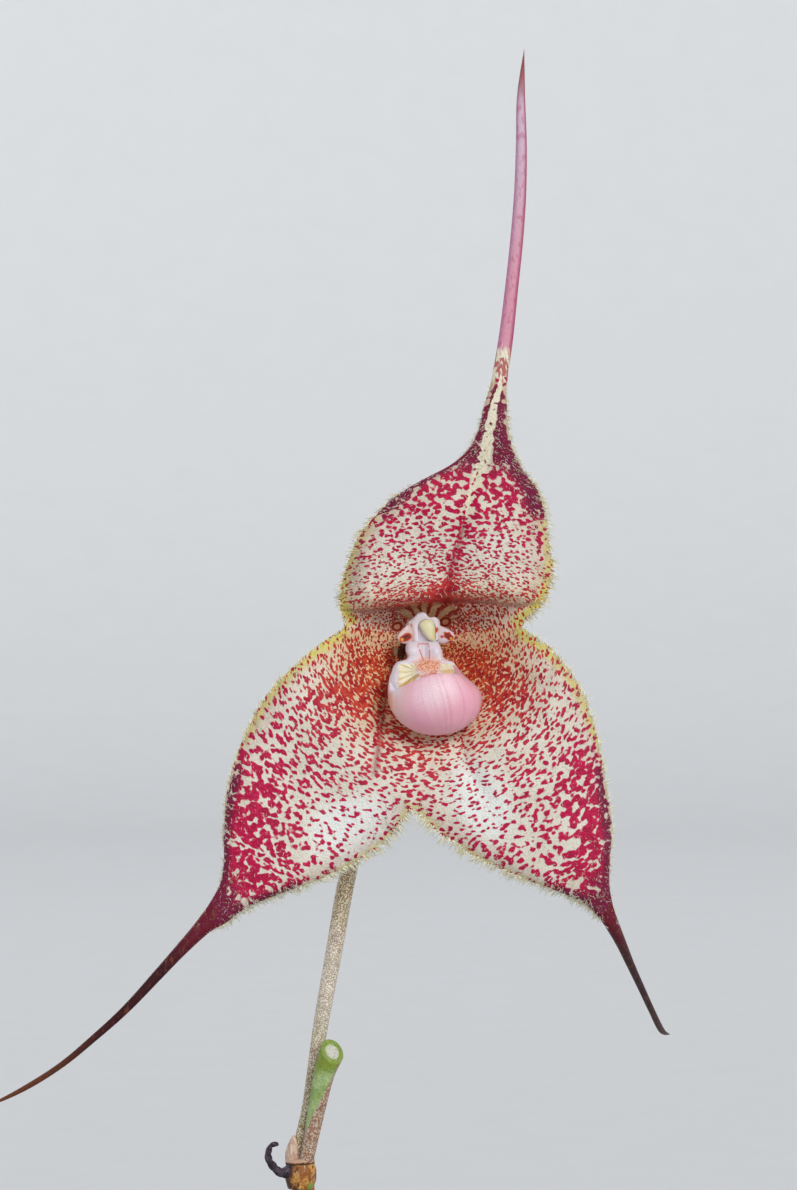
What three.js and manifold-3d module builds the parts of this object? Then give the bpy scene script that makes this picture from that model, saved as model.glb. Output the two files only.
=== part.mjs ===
// A potted Dracula orchid in flower: a plain clay pot with a mossy mix, a tuft of strap leaves on
// short sheathed stems, and one tailed bloom held above them on an erect flower stem.
// Millimetres, +Z up, the bloom faces -Y. The origin is the centre of the pot's base.
import * as THREE from "three";
import { mergeVertices } from "three/addons/utils/BufferGeometryUtils.js";
import Module from "manifold-3d";

const wasm = await Module();
wasm.setup();

// Pot and mix
const POT_HEIGHT = 76;
const POT_BASE_RADIUS = 29;
const POT_WAIST_RADIUS = 40;
const POT_RIM_RADIUS = 46;
const POT_RIM_HEIGHT = 14;
const POT_INNER_BASE_RADIUS = 25;
const POT_INNER_TOP_RADIUS = 41.5;
const POT_FLOOR = 4;
const DRAIN_RADIUS = 3.5;
const DRAIN_RING = 14;
const DRAIN_COUNT = 4;
const MIX_EDGE_HEIGHT = 69.5;
const MIX_CROWN_HEIGHT = 74;
const MOSS_RELIEF = 0.9;
const GAP = 0.3; // clearance between pieces that touch

// Tuft of leaves: direction round the pot in degrees, greatest width, height of the arch over
// the stem's top, reach of the tip from the pot's axis, how far the tip droops, and a phase
// that makes each blade wave in its own way
const LEAVES = [
  { turn: 14, width: 20, rise: 62, reach: 88, drop: 14, wave: 0.2 },
  { turn: 66, width: 19, rise: 74, reach: 66, drop: 40, wave: 1.4 },
  { turn: 118, width: 21, rise: 66, reach: 78, drop: 22, wave: 2.5 },
  { turn: 168, width: 20, rise: 60, reach: 92, drop: 10, wave: 3.3 },
  { turn: 216, width: 18, rise: 48, reach: 74, drop: 12, wave: 4.4 },
  { turn: 262, width: 17, rise: 40, reach: 68, drop: 8, wave: 5.2 },
  { turn: 318, width: 19, rise: 52, reach: 80, drop: 8, wave: 6.1 },
];
const STEM_RING = 10.5;
const STEM_RADIUS = 1.3;
const SHEATH_RADIUS = 1.9;
const STEM_FOOT_HEIGHT = 60;
const STEM_TOP_HEIGHT = 90;
const STEM_LEAN = 3.5;
const STEM_HOLE_RADIUS = SHEATH_RADIUS + 0.45;
const PETIOLE_HALF_WIDTH = 2;
const LEAF_THICKNESS = 0.8;
const LEAF_KEEL = 0.7;

// Flower stem
const BLOOM_CENTRE = new THREE.Vector3(9, -14, 241); // where the column meets the sepal cup
const PEDUNCLE_FOOT = new THREE.Vector3(0, 1, 60);
const PEDUNCLE_RADIUS = 1.15;
const PEDUNCLE_HOLE_RADIUS = 1.9;

// Bloom, measured from its own centre: x to the right, y away from the viewer, z up
const SEPAL_THICKNESS = 0.7;
const CUP_DEPTH = 8;
const CUP_RADIUS = 15;
const SEPAL_EDGE_CURL = 0.9;
const SEAM_ROWS = 5;
const BLADE_ROWS = 15;
const TAIL_ROWS = 13;
const SEPAL_COLUMNS = 10;

// Colours and finishes
const FINISHES = {
  clay: { color: 0xb5683f, roughness: 0.85 },
  moss: { color: 0x8a8a45, roughness: 0.95 },
  leaf: { color: 0x3f7a2c, roughness: 0.45 },
  sheath: { color: 0x6d5a35, roughness: 0.8 },
  stem: { color: 0x8a7a52, roughness: 0.6 },
  dry: { color: 0x2b2326, roughness: 0.8 },
  cut: { color: 0x7fae4e, roughness: 0.5 },
  sepal: { color: 0xd9a8a0, roughness: 0.6 },
  petal: { color: 0xecd9d6, roughness: 0.5 },
  column: { color: 0xe6dce2, roughness: 0.4 },
  anther: { color: 0xe3dfae, roughness: 0.5 },
  lip: { color: 0xeab9c6, roughness: 0.45 },
};

const clamp01 = (value) => Math.min(1, Math.max(0, value));
const mix = (a, b, share) => a + (b - a) * share;

function smooth(low, high, value) {
  const share = clamp01((value - low) / (high - low));
  return share * share * (3 - 2 * share);
}

const vec = (x, y, z) => new THREE.Vector3(x, y, z);

// A closed skin from a start point, through rings of points that turn counter-clockwise
// about the way they advance, to an end point.
function skin(start, rings, end) {
  const sides = rings[0].length;
  const points = [start, ...rings.flat(), end];
  const last = points.length - 1;
  const at = (ring, side) => 1 + ring * sides + (side % sides);
  const faces = [];
  for (let side = 0; side < sides; side++) {
    faces.push(0, at(0, side + 1), at(0, side));
    faces.push(last, at(rings.length - 1, side), at(rings.length - 1, side + 1));
    for (let ring = 0; ring + 1 < rings.length; ring++) {
      const [a, b] = [at(ring, side), at(ring, side + 1)];
      const [c, d] = [at(ring + 1, side + 1), at(ring + 1, side)];
      faces.push(a, b, c, a, c, d);
    }
  }
  const geometry = new THREE.BufferGeometry().setFromPoints(points);
  geometry.setIndex(faces);
  return geometry;
}

// A round stem along a smooth curve through the points, with flat ends. The radius is a
// function of the share of the length. A slant cuts the far end so that it faces the viewer.
function roundStem(points, radius, sides, stations, slant = 0) {
  const curve = new THREE.CatmullRomCurve3(points);
  const frames = curve.computeFrenetFrames(stations, false);
  const rings = [];
  for (let station = 0; station <= stations; station++) {
    const share = station / stations;
    const centre = curve.getPointAt(share);
    const slide = station === stations ? slant : 0;
    rings.push(
      ringOf(sides, (cos, sin) => {
        const spoke = frames.normals[station].clone().multiplyScalar(cos * radius(share));
        spoke.addScaledVector(frames.binormals[station], sin * radius(share));
        return spoke.addScaledVector(frames.tangents[station], slide * spoke.y).add(centre);
      }),
    );
  }
  return skin(curve.getPointAt(0), rings, curve.getPointAt(1));
}

function ringOf(sides, point) {
  return Array.from({ length: sides }, (_, side) => {
    const angle = (2 * Math.PI * side) / sides;
    return point(Math.cos(angle), Math.sin(angle));
  });
}

// Geometry to solid and back, for cuts and joins
function solidOf(geometry) {
  const bare = geometry.clone();
  bare.deleteAttribute("normal");
  bare.deleteAttribute("uv");
  const merged = mergeVertices(bare, 1e-4);
  return new wasm.Manifold(
    new wasm.Mesh({
      numProp: 3,
      vertProperties: merged.attributes.position.array,
      triVerts: new Uint32Array(merged.index.array),
    }),
  );
}

function geometryOf(solid) {
  const made = solid.getMesh();
  return new THREE.BufferGeometry()
    .setAttribute("position", new THREE.BufferAttribute(made.vertProperties, 3))
    .setIndex(new THREE.BufferAttribute(made.triVerts, 1));
}

function uprightCylinder(radius, low, high, x, y, sides) {
  return new THREE.CylinderGeometry(radius, radius, high - low, sides)
    .rotateX(Math.PI / 2)
    .translate(x, y, (low + high) / 2);
}

const plant = new THREE.Group();
const bloom = new THREE.Group();
bloom.position.copy(BLOOM_CENTRE);
plant.add(bloom);

function place(group, name, geometry, finish) {
  const material = new THREE.MeshStandardMaterial({ metalness: 0, ...FINISHES[finish] });
  const mesh = new THREE.Mesh(geometry, material);
  mesh.name = name;
  group.add(mesh);
}

// Pot: a thrown clay wall with a rolled rim and drain holes in its floor
function potGeometry() {
  const rimFoot = POT_HEIGHT - POT_RIM_HEIGHT;
  const profile = [
    [0, 0],
    [POT_BASE_RADIUS - 1.2, 0],
    [POT_BASE_RADIUS, 1.2],
    [POT_WAIST_RADIUS, rimFoot],
    [POT_RIM_RADIUS - 1.6, rimFoot + 0.6],
    [POT_RIM_RADIUS - 0.6, rimFoot + 1.8],
    [POT_RIM_RADIUS, POT_HEIGHT - 2],
    [POT_RIM_RADIUS - 0.9, POT_HEIGHT - 0.3],
    [POT_RIM_RADIUS - 2, POT_HEIGHT],
    [POT_INNER_TOP_RADIUS + 0.6, POT_HEIGHT],
    [POT_INNER_TOP_RADIUS, POT_HEIGHT - 1],
    [POT_INNER_BASE_RADIUS, POT_FLOOR],
    [0, POT_FLOOR],
  ].map(([radius, height]) => new THREE.Vector2(radius, height));
  let pot = solidOf(new THREE.LatheGeometry(profile, 48).rotateX(Math.PI / 2));
  for (let hole = 0; hole < DRAIN_COUNT; hole++) {
    const angle = ((hole + 0.5) * 2 * Math.PI) / DRAIN_COUNT;
    const [x, y] = [DRAIN_RING * Math.cos(angle), DRAIN_RING * Math.sin(angle)];
    pot = pot.subtract(
      solidOf(uprightCylinder(DRAIN_RADIUS, -1, POT_FLOOR + 1, x, y, 16)),
    );
  }
  return geometryOf(pot);
}

// Where each leaf's stem stands in the mix
const stemFeet = LEAVES.map(({ turn }) => {
  const angle = (turn * Math.PI) / 180;
  return new THREE.Vector2(Math.cos(angle), Math.sin(angle)).multiplyScalar(STEM_RING);
});

// Mix: fills the pot, mounded under a lumpy skin of moss, with a plain hole for each stem
function mixGeometry() {
  const innerRadius = (height) =>
    mix(
      POT_INNER_BASE_RADIUS,
      POT_INNER_TOP_RADIUS,
      (height - POT_FLOOR) / (POT_HEIGHT - 1 - POT_FLOOR),
    ) - 0.5;
  const sides = 36;
  const floor = POT_FLOOR + GAP;
  const edge = innerRadius(MIX_EDGE_HEIGHT);
  const lumps = (x, y) =>
    MOSS_RELIEF * (Math.sin(x * 0.55 + 1) * Math.cos(y * 0.6) + Math.sin((x + y) * 0.31));
  const top = (radius, cos, sin) => {
    const crown = 1 - (radius / edge) ** 2;
    const height = mix(MIX_EDGE_HEIGHT, MIX_CROWN_HEIGHT, crown);
    const [x, y] = [radius * cos, radius * sin];
    return vec(x, y, height + lumps(x, y) * Math.min(1, crown * 4));
  };
  const rings = [
    ringOf(sides, (cos, sin) => vec(innerRadius(floor) * cos, innerRadius(floor) * sin, floor)),
    ringOf(sides, (cos, sin) => vec(edge * cos, edge * sin, MIX_EDGE_HEIGHT - 1.5)),
  ];
  for (const share of [0.97, 0.86, 0.72, 0.58, 0.44, 0.3, 0.16])
    rings.push(ringOf(sides, (cos, sin) => top(edge * share, cos, sin)));
  let mound = solidOf(skin(vec(0, 0, floor), rings, top(0, 1, 0)));
  for (const foot of stemFeet)
    mound = mound.subtract(
      solidOf(uprightCylinder(STEM_HOLE_RADIUS, STEM_FOOT_HEIGHT - GAP, POT_HEIGHT + 9, foot.x, foot.y, 10)),
    );
  const { x, y, z } = PEDUNCLE_FOOT;
  mound = mound.subtract(
    solidOf(uprightCylinder(PEDUNCLE_HOLE_RADIUS, z - GAP, POT_HEIGHT + 9, x, y, 10)),
  );
  return geometryOf(mound);
}

// Leaf stem: short and wiry inside two papery tubular sheaths with flared mouths
function leafStemPoints(foot) {
  const out = foot.clone().normalize();
  const at = (lean, height) =>
    vec(foot.x + out.x * lean, foot.y + out.y * lean, height);
  return [
    at(0, STEM_FOOT_HEIGHT),
    at(0, MIX_CROWN_HEIGHT + 1.5),
    at(STEM_LEAN * 0.3, mix(MIX_CROWN_HEIGHT, STEM_TOP_HEIGHT, 0.55)),
    at(STEM_LEAN, STEM_TOP_HEIGHT),
  ];
}

function sheathedRadius(share) {
  const lowerMouth = 0.62;
  const upperMouth = 0.9;
  const flare = (mouth, length) => 0.35 * smooth(mouth - length, mouth, share);
  if (share <= lowerMouth) return SHEATH_RADIUS + flare(lowerMouth, 0.2) - 0.1;
  if (share <= upperMouth) return SHEATH_RADIUS - 0.3 + flare(upperMouth, 0.15);
  return STEM_RADIUS;
}

// Leaf: a folded leaf stalk that opens into a keeled, arching, softly waved strap
function leafGeometry({ turn, width, rise, reach, drop, wave }, foot) {
  const angle = (turn * Math.PI) / 180;
  const out = vec(Math.cos(angle), Math.sin(angle), 0);
  const across = vec(-Math.sin(angle), Math.cos(angle), 0);
  const base = leafStemPoints(foot)[3].add(vec(0, 0, GAP + 0.1));
  const start = Math.hypot(base.x, base.y);
  const at = (radius, height) => out.clone().multiplyScalar(radius).setZ(height);
  const arch = new THREE.CubicBezierCurve3(
    base,
    at(start + (reach - start) * 0.12, base.z + rise * 0.75),
    at(start + (reach - start) * 0.5, base.z + rise * 1.25),
    at(reach, base.z + rise - drop * 1.6),
  );
  const stations = 16;
  const columns = [-1, -0.62, -0.26, 0, 0.26, 0.62, 1];
  const halfWidth = (share) =>
    mix(
      PETIOLE_HALF_WIDTH,
      width / 2,
      smooth(0.14, 0.52, share) * Math.sqrt(1 - clamp01((share - 0.5) / 0.5) ** 2.4),
    ) * (share > 0.9 ? Math.sqrt(1 - ((share - 0.9) / 0.1) ** 2 * 0.9) : 1);
  const section = (share) => {
    const centre = arch.getPointAt(share);
    const forward = arch.getTangentAt(share);
    const up = forward.clone().cross(across);
    const half = halfWidth(share);
    const fold = mix(0.95, 0.2, smooth(0.08, 0.45, share));
    const skinPoint = (column, side) => {
      const offset = Math.abs(column);
      const body = (LEAF_THICKNESS / 2) * Math.sqrt(1 - offset ** 6);
      const keel = side < 0 ? LEAF_KEEL * Math.max(0, 1 - offset * 3.5) : 0;
      const ripple = 0.5 * offset * Math.sin(share * 17 + wave + (column > 0 ? 1.1 : 0));
      const lift = offset * half * fold + ripple * smooth(0.3, 0.5, share);
      return centre
        .clone()
        .addScaledVector(across, column * half)
        .addScaledVector(up, lift + side * (body + keel));
    };
    const upper = columns.map((column) => skinPoint(column, 1));
    const lower = columns.slice(1, -1).map((column) => skinPoint(column, -1));
    return [...upper, ...lower.reverse()].reverse();
  };
  const rings = [];
  for (let station = 0; station < stations; station++)
    rings.push(section(station / stations));
  return skin(base, rings, arch.getPointAt(1));
}

// Flower stem: rises from the middle of the tuft, with one close sheath low down
const PEDUNCLE_POINTS = [
  PEDUNCLE_FOOT,
  vec(0, 1, 76),
  vec(0.6, 0.5, 104),
  vec(0, -1.6, 140),
  vec(-2.4, -4.6, 170),
  vec(-3.7, -6.6, 186.4),
];

function peduncleRadius(share) {
  const sheathFoot = 0.2;
  const sheathTop = 0.36;
  const sheath = share > sheathFoot && share < sheathTop ? 0.45 : 0;
  return PEDUNCLE_RADIUS + sheath;
}

// The stem's node, in the bloom's own measures: a papery bract cups the foot of the flower's
// stalk, beside the cut stump of the stem's old end and the curl of a withered bract
const NODE = vec(-12.9, 7.4, -54.3);
const STALK_POINTS = [
  vec(-13.3, 8, -51.8),
  vec(-12.75, 8.1, -50.4),
  vec(-12, 8.3, -47),
  vec(-10.9, 8.8, -39.5),
  vec(-9.5, 9.6, -31.7),
  vec(-8.2, 10.6, -24.4),
  vec(-5.9, 12.4, -14.8),
  vec(-2.7, 13, -7.4),
  vec(-0.8, 11.6, -2.6),
  vec(-0.2, 9.4, -0.8),
];
const STUMP_POINTS = [
  vec(-12.1, 6.8, -51.8),
  vec(-11.5, 6.6, -49),
  vec(-10.5, 6.1, -44.1),
  vec(-9.65, 5.8, -41.7),
];
const STUMP_SLANT = 0.9;
const CURL_POINTS = [
  vec(-14.65, 6.6, -54),
  vec(-15.2, 6.3, -54.4),
  vec(-15.9, 6.1, -53.5),
  vec(-16.2, 6, -52.4),
  vec(-15.7, 6, -51.4),
  vec(-14.95, 6, -51.6),
];

function stalkRadius(share) {
  const ovary = 0.3 * smooth(0.7, 0.84, share);
  return mix(0.65, 0.88, smooth(0, 0.5, share)) + ovary;
}

const stumpRadius = (share) => mix(0.72, 1.2, share ** 1.6);

function bractGeometry() {
  const sides = 12;
  const levels = [
    [0, 1.2],
    [0.5, 1.35],
    [1.2, 1.5],
    [1.9, 1.55],
    [2.2, 1.35],
  ];
  const ring = ([height, radius]) =>
    ringOf(sides, (cos, sin) =>
      vec(NODE.x + radius * cos, NODE.y + radius * sin, NODE.z + height - 0.15 * cos),
    );
  return skin(NODE, levels.map(ring), NODE.clone().add(vec(0, 0, 2.1)));
}

// Sepals. Each is a list of cross lines from the notch where it parts from its neighbour to
// its neck: [start side, middle, end side], counter-clockwise as the viewer sees them, each
// a pair of x and z. A tail follows: x, depth, z and half its width.
const CENTRE = [0, 0];
const NOTCH_LEFT = [-8.3, 1.3];
const NOTCH_RIGHT = [9.3, 1.3];
const NOTCH_LOW = [-1.6, -16.8];

const DORSAL = {
  cross: [
    [NOTCH_RIGHT, [1.2, 4.6], NOTCH_LEFT],
    [[11.7, 3.8], [1.8, 7], [-8.95, 3.8]],
    [[12.55, 6.8], [2.3, 9.4], [-8.6, 6]],
    [[12.1, 9.8], [3, 12], [-7.2, 9.9]],
    [[11.85, 12.6], [3.7, 14.5], [-5.4, 12.3]],
    [[11, 14.9], [4.5, 16.6], [-2.7, 14.6]],
    [[9.5, 16.8], [5.3, 18.3], [1.3, 16.3]],
    [[8.5, 18.8], [6, 19.7], [3.8, 18.4]],
    [[7.9, 21.2], [6.45, 21.6], [5.1, 20.8]],
    [[7.75, 23.4], [6.75, 23.6], [5.75, 23.3]],
  ],
  tail: [
    [7.1, 1.9, 25.7, 0.86],
    [7.85, 2.8, 30.5, 0.73],
    [8.45, 4.2, 35.5, 0.67],
    [9, 5.8, 40.4, 0.66],
    [9.4, 7.4, 45.4, 0.62],
    [9.55, 8.8, 50.4, 0.56],
    [9.55, 10, 55.4, 0.42],
  ],
  tip: [9.9, 10.8, 60.4],
};
const LEFT_LATERAL = {
  cross: [
    [NOTCH_LEFT, [-7, -8.6], NOTCH_LOW],
    [[-11.5, -0.9], [-9, -11.2], [-2.9, -18.75]],
    [[-14.15, -3.3], [-11, -13.7], [-4.6, -20.5]],
    [[-16.3, -5.7], [-12.8, -16], [-6.8, -22]],
    [[-17.8, -8.4], [-14.4, -18.2], [-9.3, -23.3]],
    [[-19.1, -11.4], [-15.9, -20.2], [-12, -24.4]],
    [[-20.1, -15], [-17.3, -22.1], [-14.7, -25.3]],
    [[-20.4, -18.8], [-18.6, -23.9], [-17, -26.2]],
    [[-20.3, -22.2], [-19.6, -25.4], [-18.8, -27.1]],
    [[-20.8, -24.9], [-20.8, -26.7], [-20.3, -28.3]],
  ],
  tail: [
    [-22.6, 0.9, -28.8, 0.85],
    [-24.9, 0.5, -31.2, 0.62],
    [-27.2, 0.2, -33.7, 0.52],
    [-30.2, 0, -36.9, 0.42],
    [-33.4, 0, -39.8, 0.35],
    [-36.8, 0.1, -42.6, 0.3],
    [-40.8, 0.4, -45.1, 0.25],
  ],
  tip: [-45.6, 0.9, -47.4],
};
const RIGHT_LATERAL = {
  cross: [
    [NOTCH_LOW, [5.5, -8.2], NOTCH_RIGHT],
    [[0.2, -18.65], [7.3, -10.7], [12.1, -0.6]],
    [[2.6, -20.4], [9, -13.1], [14.15, -3]],
    [[5, -21.9], [10.6, -15.4], [15.6, -5.5]],
    [[7.4, -23], [12.1, -17.5], [16.6, -8.4]],
    [[9.8, -24], [13.5, -19.5], [17.35, -11.6]],
    [[12.1, -24.8], [14.8, -21.4], [17.9, -15]],
    [[14, -25.5], [15.9, -23.1], [18.4, -18.4]],
    [[15.6, -26.2], [16.8, -24.7], [18.1, -21.8]],
    [[16.7, -27.2], [17.5, -26.3], [18, -24.9]],
  ],
  tail: [
    [18.2, 1.7, -28, 0.78],
    [19.4, 4.2, -30.4, 0.55],
    [20.6, 8, -33, 0.42],
    [21.9, 12.5, -35.7, 0.36],
    [23.2, 17, -38.4, 0.33],
    [24.5, 21.2, -40.9, 0.31],
  ],
  tip: [25.5, 23.5, -41.5],
};

// Distance from a point to a line of points, and how far along it the foot lies, 0 to 1
function nearest(points, x, z) {
  let best = { distance: Infinity, share: 0 };
  for (let i = 0; i + 1 < points.length; i++) {
    const [ax, az] = points[i];
    const [bx, bz] = points[i + 1];
    const length = (bx - ax) ** 2 + (bz - az) ** 2;
    const t = clamp01(((x - ax) * (bx - ax) + (z - az) * (bz - az)) / length);
    const distance = Math.hypot(x - mix(ax, bx, t), z - mix(az, bz, t));
    if (distance < best.distance) best = { distance, share: (i + t) / (points.length - 1) };
  }
  return best;
}

const bell = (distance, spread) => Math.exp(-((distance / spread) ** 2));

// Raised seams beside the column, and grooves over the middle veins
const RIDGES = [
  { line: [[-2, 0.1], [-5, 0.5], NOTCH_LEFT], height: 1.3, spread: 1.3 },
  { line: [[2.2, 0.1], [5.5, 0.3], NOTCH_RIGHT], height: 1.3, spread: 1.3 },
];
const GROOVES = [
  { line: [[1.7, 4.3], [2.4, 8], [4.2, 14.6], [6.2, 20]], depth: 0.9, spread: 0.9 },
  { line: [[-3.6, -2], [-4.5, -7], [-5.4, -13.4]], depth: 1.2, spread: 0.9 },
  { line: [[2.8, -4], [3.6, -12.4], [7.2, -17.6]], depth: 0.6, spread: 0.9 },
];
const CREASE = [[-7.5, 2.8], [-2.8, 3.2], [0.2, 3.5], [2, 4], [5.4, 3.8], [9.4, 3.4]];
const CREASE_RISE = 1.7;

// Depth of the sepals' middle skin behind the plane of their margins
function sepalDepth(x, z) {
  const radius = Math.hypot(x, z);
  const bowl = CUP_DEPTH * (1 - smooth(1.5, CUP_RADIUS, radius));
  const creaseAt = creaseHeight(x);
  const hood = smooth(creaseAt, creaseAt + CREASE_RISE, z) * (1 - smooth(7, 10.5, Math.abs(x - 1.2)));
  let depth = bowl * (1 - 0.75 * hood) - 0.9 * hood;
  for (const { line, height, spread } of RIDGES) {
    const { distance, share } = nearest(line, x, z);
    depth -= height * bell(distance, spread) * (1 - 0.7 * share);
  }
  for (const { line, depth: cut, spread } of GROOVES) {
    const { distance, share } = nearest(line, x, z);
    depth += cut * bell(distance, spread) * smooth(0, 0.12, share + 0.06) * (1 - smooth(0.5, 1, share));
  }
  depth += 0.35 * Math.sin(x * 0.42 + 0.6) * Math.sin(z * 0.36 + 0.4) * smooth(5, 10, radius);
  return depth;
}

function creaseHeight(x) {
  const inside = CREASE.findIndex(([at]) => at > x);
  if (inside === 0) return CREASE[0][1];
  if (inside < 0) return CREASE.at(-1)[1];
  const [[ax, az], [bx, bz]] = [CREASE[inside - 1], CREASE[inside]];
  return mix(az, bz, smooth(ax, bx, x));
}

function sepalFieldNormal(x, z) {
  const step = 0.05;
  const slopeX = (sepalDepth(x + step, z) - sepalDepth(x - step, z)) / (2 * step);
  const slopeZ = (sepalDepth(x, z + step) - sepalDepth(x, z - step)) / (2 * step);
  return vec(slopeX, -1, slopeZ).normalize();
}

// One sepal as a function of a place along it, -1 at the bloom's centre, 0 at its notches
// and rising by 1 at each cross line, and a place across it from -1 to 1
function sepalShape({ cross, tail, tip }) {
  const neck = cross.length - 1;
  const ends = neck + tail.length + 1;
  const centres = [...cross.map((line) => line[1]), ...tail.map(([x, , z]) => [x, z]), [tip[0], tip[2]]];
  const side = (which) =>
    centres.map((centre, index) => {
      if (index <= neck) return cross[index][which];
      const before = centres[index - 1];
      const after = centres[Math.min(index + 1, ends)];
      const way = new THREE.Vector2(after[0] - before[0], after[1] - before[1]).normalize();
      const half = index < ends ? tail[index - neck - 1][3] : 0;
      const turn = which === 0 ? 1 : -1;
      return [centre[0] + way.y * half * turn, centre[1] - way.x * half * turn];
    });
  const splineOf = (points) => new THREE.SplineCurve(points.map(([x, z]) => new THREE.Vector2(x, z)));
  const lines = [splineOf(side(0)), splineOf(centres), splineOf(side(2))];
  const depths = new THREE.SplineCurve(
    [...tail.map(([, y]) => y), tip[1]].map((y, index) => new THREE.Vector2(index, y)),
  );
  const halves = [cross[neck], ...tail.map((t) => t[3]), 0];

  const linePoint = (which, along) => {
    if (along >= 0) return lines[which].getPoint(clamp01(along / ends));
    const outer = cross[0][which];
    return new THREE.Vector2(mix(CENTRE[0], outer[0], along + 1), mix(CENTRE[1], outer[1], along + 1));
  };
  const inTail = (along) => smooth(neck - 1.5, neck + 1, along);
  const middle = (along, across) => {
    const [a, b, c] = [0, 1, 2].map((which) => linePoint(which, along));
    const x = b.x + (across * (c.x - a.x)) / 2 + across ** 2 * ((a.x + c.x) / 2 - b.x);
    const z = b.y + (across * (c.y - a.y)) / 2 + across ** 2 * ((a.y + c.y) / 2 - b.y);
    const blade = sepalDepth(x, z);
    const curl =
      SEPAL_EDGE_CURL * Math.max(0, (Math.abs(across) - 0.65) / 0.35) ** 2 * smooth(0, 1.4, along);
    const tailDepth = depths.getPoint(clamp01((along - neck - 1) / tail.length)).y;
    return vec(x, mix(blade + curl, tailDepth, inTail(along)), z);
  };
  const normal = (along, across) => {
    const at = middle(along, across);
    const field = sepalFieldNormal(at.x, at.z);
    const step = 0.04;
    const inner = Math.max(-0.96, Math.min(0.96, across));
    const forward = middle(along + step, inner).sub(middle(along - step, inner));
    const sideways = middle(along, inner + step).sub(middle(along, inner - step));
    const own = forward.cross(sideways).normalize();
    return field.lerp(own, smooth(0.5, 2.5, along)).normalize();
  };
  const halfThickness = (along, across) => {
    const edge = Math.abs(across);
    if (edge > 0.9999) return along < -1e-6 ? SEPAL_THICKNESS / 2 : 0;
    const blade = (SEPAL_THICKNESS / 2) * mix(1, Math.sqrt(1 - edge ** 6), smooth(-0.3, 0.5, along));
    const index = Math.max(0, along - neck);
    const low = Math.min(tail.length, Math.floor(index));
    const wide = low === 0 ? tail[0][3] : mix(halves[low], halves[low + 1] ?? 0, index - low);
    return mix(blade, wide * 0.9 * Math.sqrt(1 - edge ** 2), inTail(along));
  };
  const face = (along, across, front) => {
    const at = middle(along, across);
    const lift = halfThickness(along, across);
    return lift ? at.addScaledVector(normal(along, across), front * lift) : at;
  };
  return { ends, neck, face };
}

// All three sepals as one solid: they are grown together from the centre to their notches
function sepalsGeometry() {
  const triangles = [];
  for (const sepal of [DORSAL, LEFT_LATERAL, RIGHT_LATERAL]) {
    const { ends, neck, face } = sepalShape(sepal);
    const rows = [];
    for (let row = 0; row < SEAM_ROWS; row++) rows.push((row / SEAM_ROWS) ** 0.8 - 1);
    for (let row = 0; row < BLADE_ROWS; row++) rows.push((neck * row) / BLADE_ROWS);
    for (let row = 0; row <= TAIL_ROWS; row++) rows.push(mix(neck, ends, row / TAIL_ROWS));
    const columns = Array.from({ length: SEPAL_COLUMNS + 1 }, (_, column) =>
      column === 0 ? -1 : column === SEPAL_COLUMNS ? 1 : Math.sin((column / SEPAL_COLUMNS - 0.5) * Math.PI),
    );
    for (const front of [1, -1]) {
      const grid = rows.map((along) => columns.map((across) => face(along, across, front)));
      for (let row = 0; row + 1 < rows.length; row++)
        for (let column = 0; column < SEPAL_COLUMNS; column++) {
          const [a, b] = [grid[row][column], grid[row + 1][column]];
          const [c, d] = [grid[row + 1][column + 1], grid[row][column + 1]];
          triangles.push(...(front > 0 ? [a, b, c, a, c, d] : [a, c, b, a, d, c]));
        }
    }
  }
  const merged = mergeVertices(new THREE.BufferGeometry().setFromPoints(triangles), 1e-4);
  const index = Array.from(merged.index.array);
  const kept = [];
  for (let i = 0; i < index.length; i += 3) {
    const [a, b, c] = index.slice(i, i + 3);
    if (a !== b && b !== c && a !== c) kept.push(a, b, c);
  }
  return merged.setIndex(kept);
}

// Petals: small thick flaps that stand out from the sides of the column
const PETALS = [
  { name: "petal_left", centre: vec(-2.55, 4.2, 0.65), radii: vec(0.7, 0.5, 1.15), roll: -0.22, swing: -0.5 },
  { name: "petal_right", centre: vec(1.9, 4.3, 0.45), radii: vec(1.15, 0.5, 0.75), roll: 0.5, swing: 0.4 },
];

function petalGeometry({ centre, radii, roll, swing }) {
  return new THREE.SphereGeometry(1, 12, 8)
    .scale(...radii)
    .rotateY(roll)
    .rotateZ(swing)
    .translate(...centre);
}

// Column: a short translucent hood, three-cornered towards the viewer, over the anther
function columnGeometry() {
  const middle = -0.5;
  const profile = [
    [6.7, 0.9, 1, 0.9],
    [5.8, 1, 1.25, 1.1],
    [4.8, 1.15, 1.45, 1.35],
    [4, 1.2, 1.5, 1.5],
    [3.5, 1.15, 1.3, 1.3],
  ];
  const rings = profile.map(([depth, height, wide, tall]) =>
    ringOf(12, (cos, sin) => {
      const narrowing = 1 - 0.35 * Math.max(0, sin);
      return vec(middle + wide * cos * narrowing, depth, height + tall * sin);
    }),
  );
  return skin(vec(middle, 6.9, 0.9), rings, vec(middle, 3.4, 1.1));
}

function antherGeometry() {
  return new THREE.SphereGeometry(1, 12, 8)
    .scale(0.75, 0.55, 1.15)
    .rotateY(-0.3)
    .translate(0, 2.8, 0.95);
}

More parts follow.
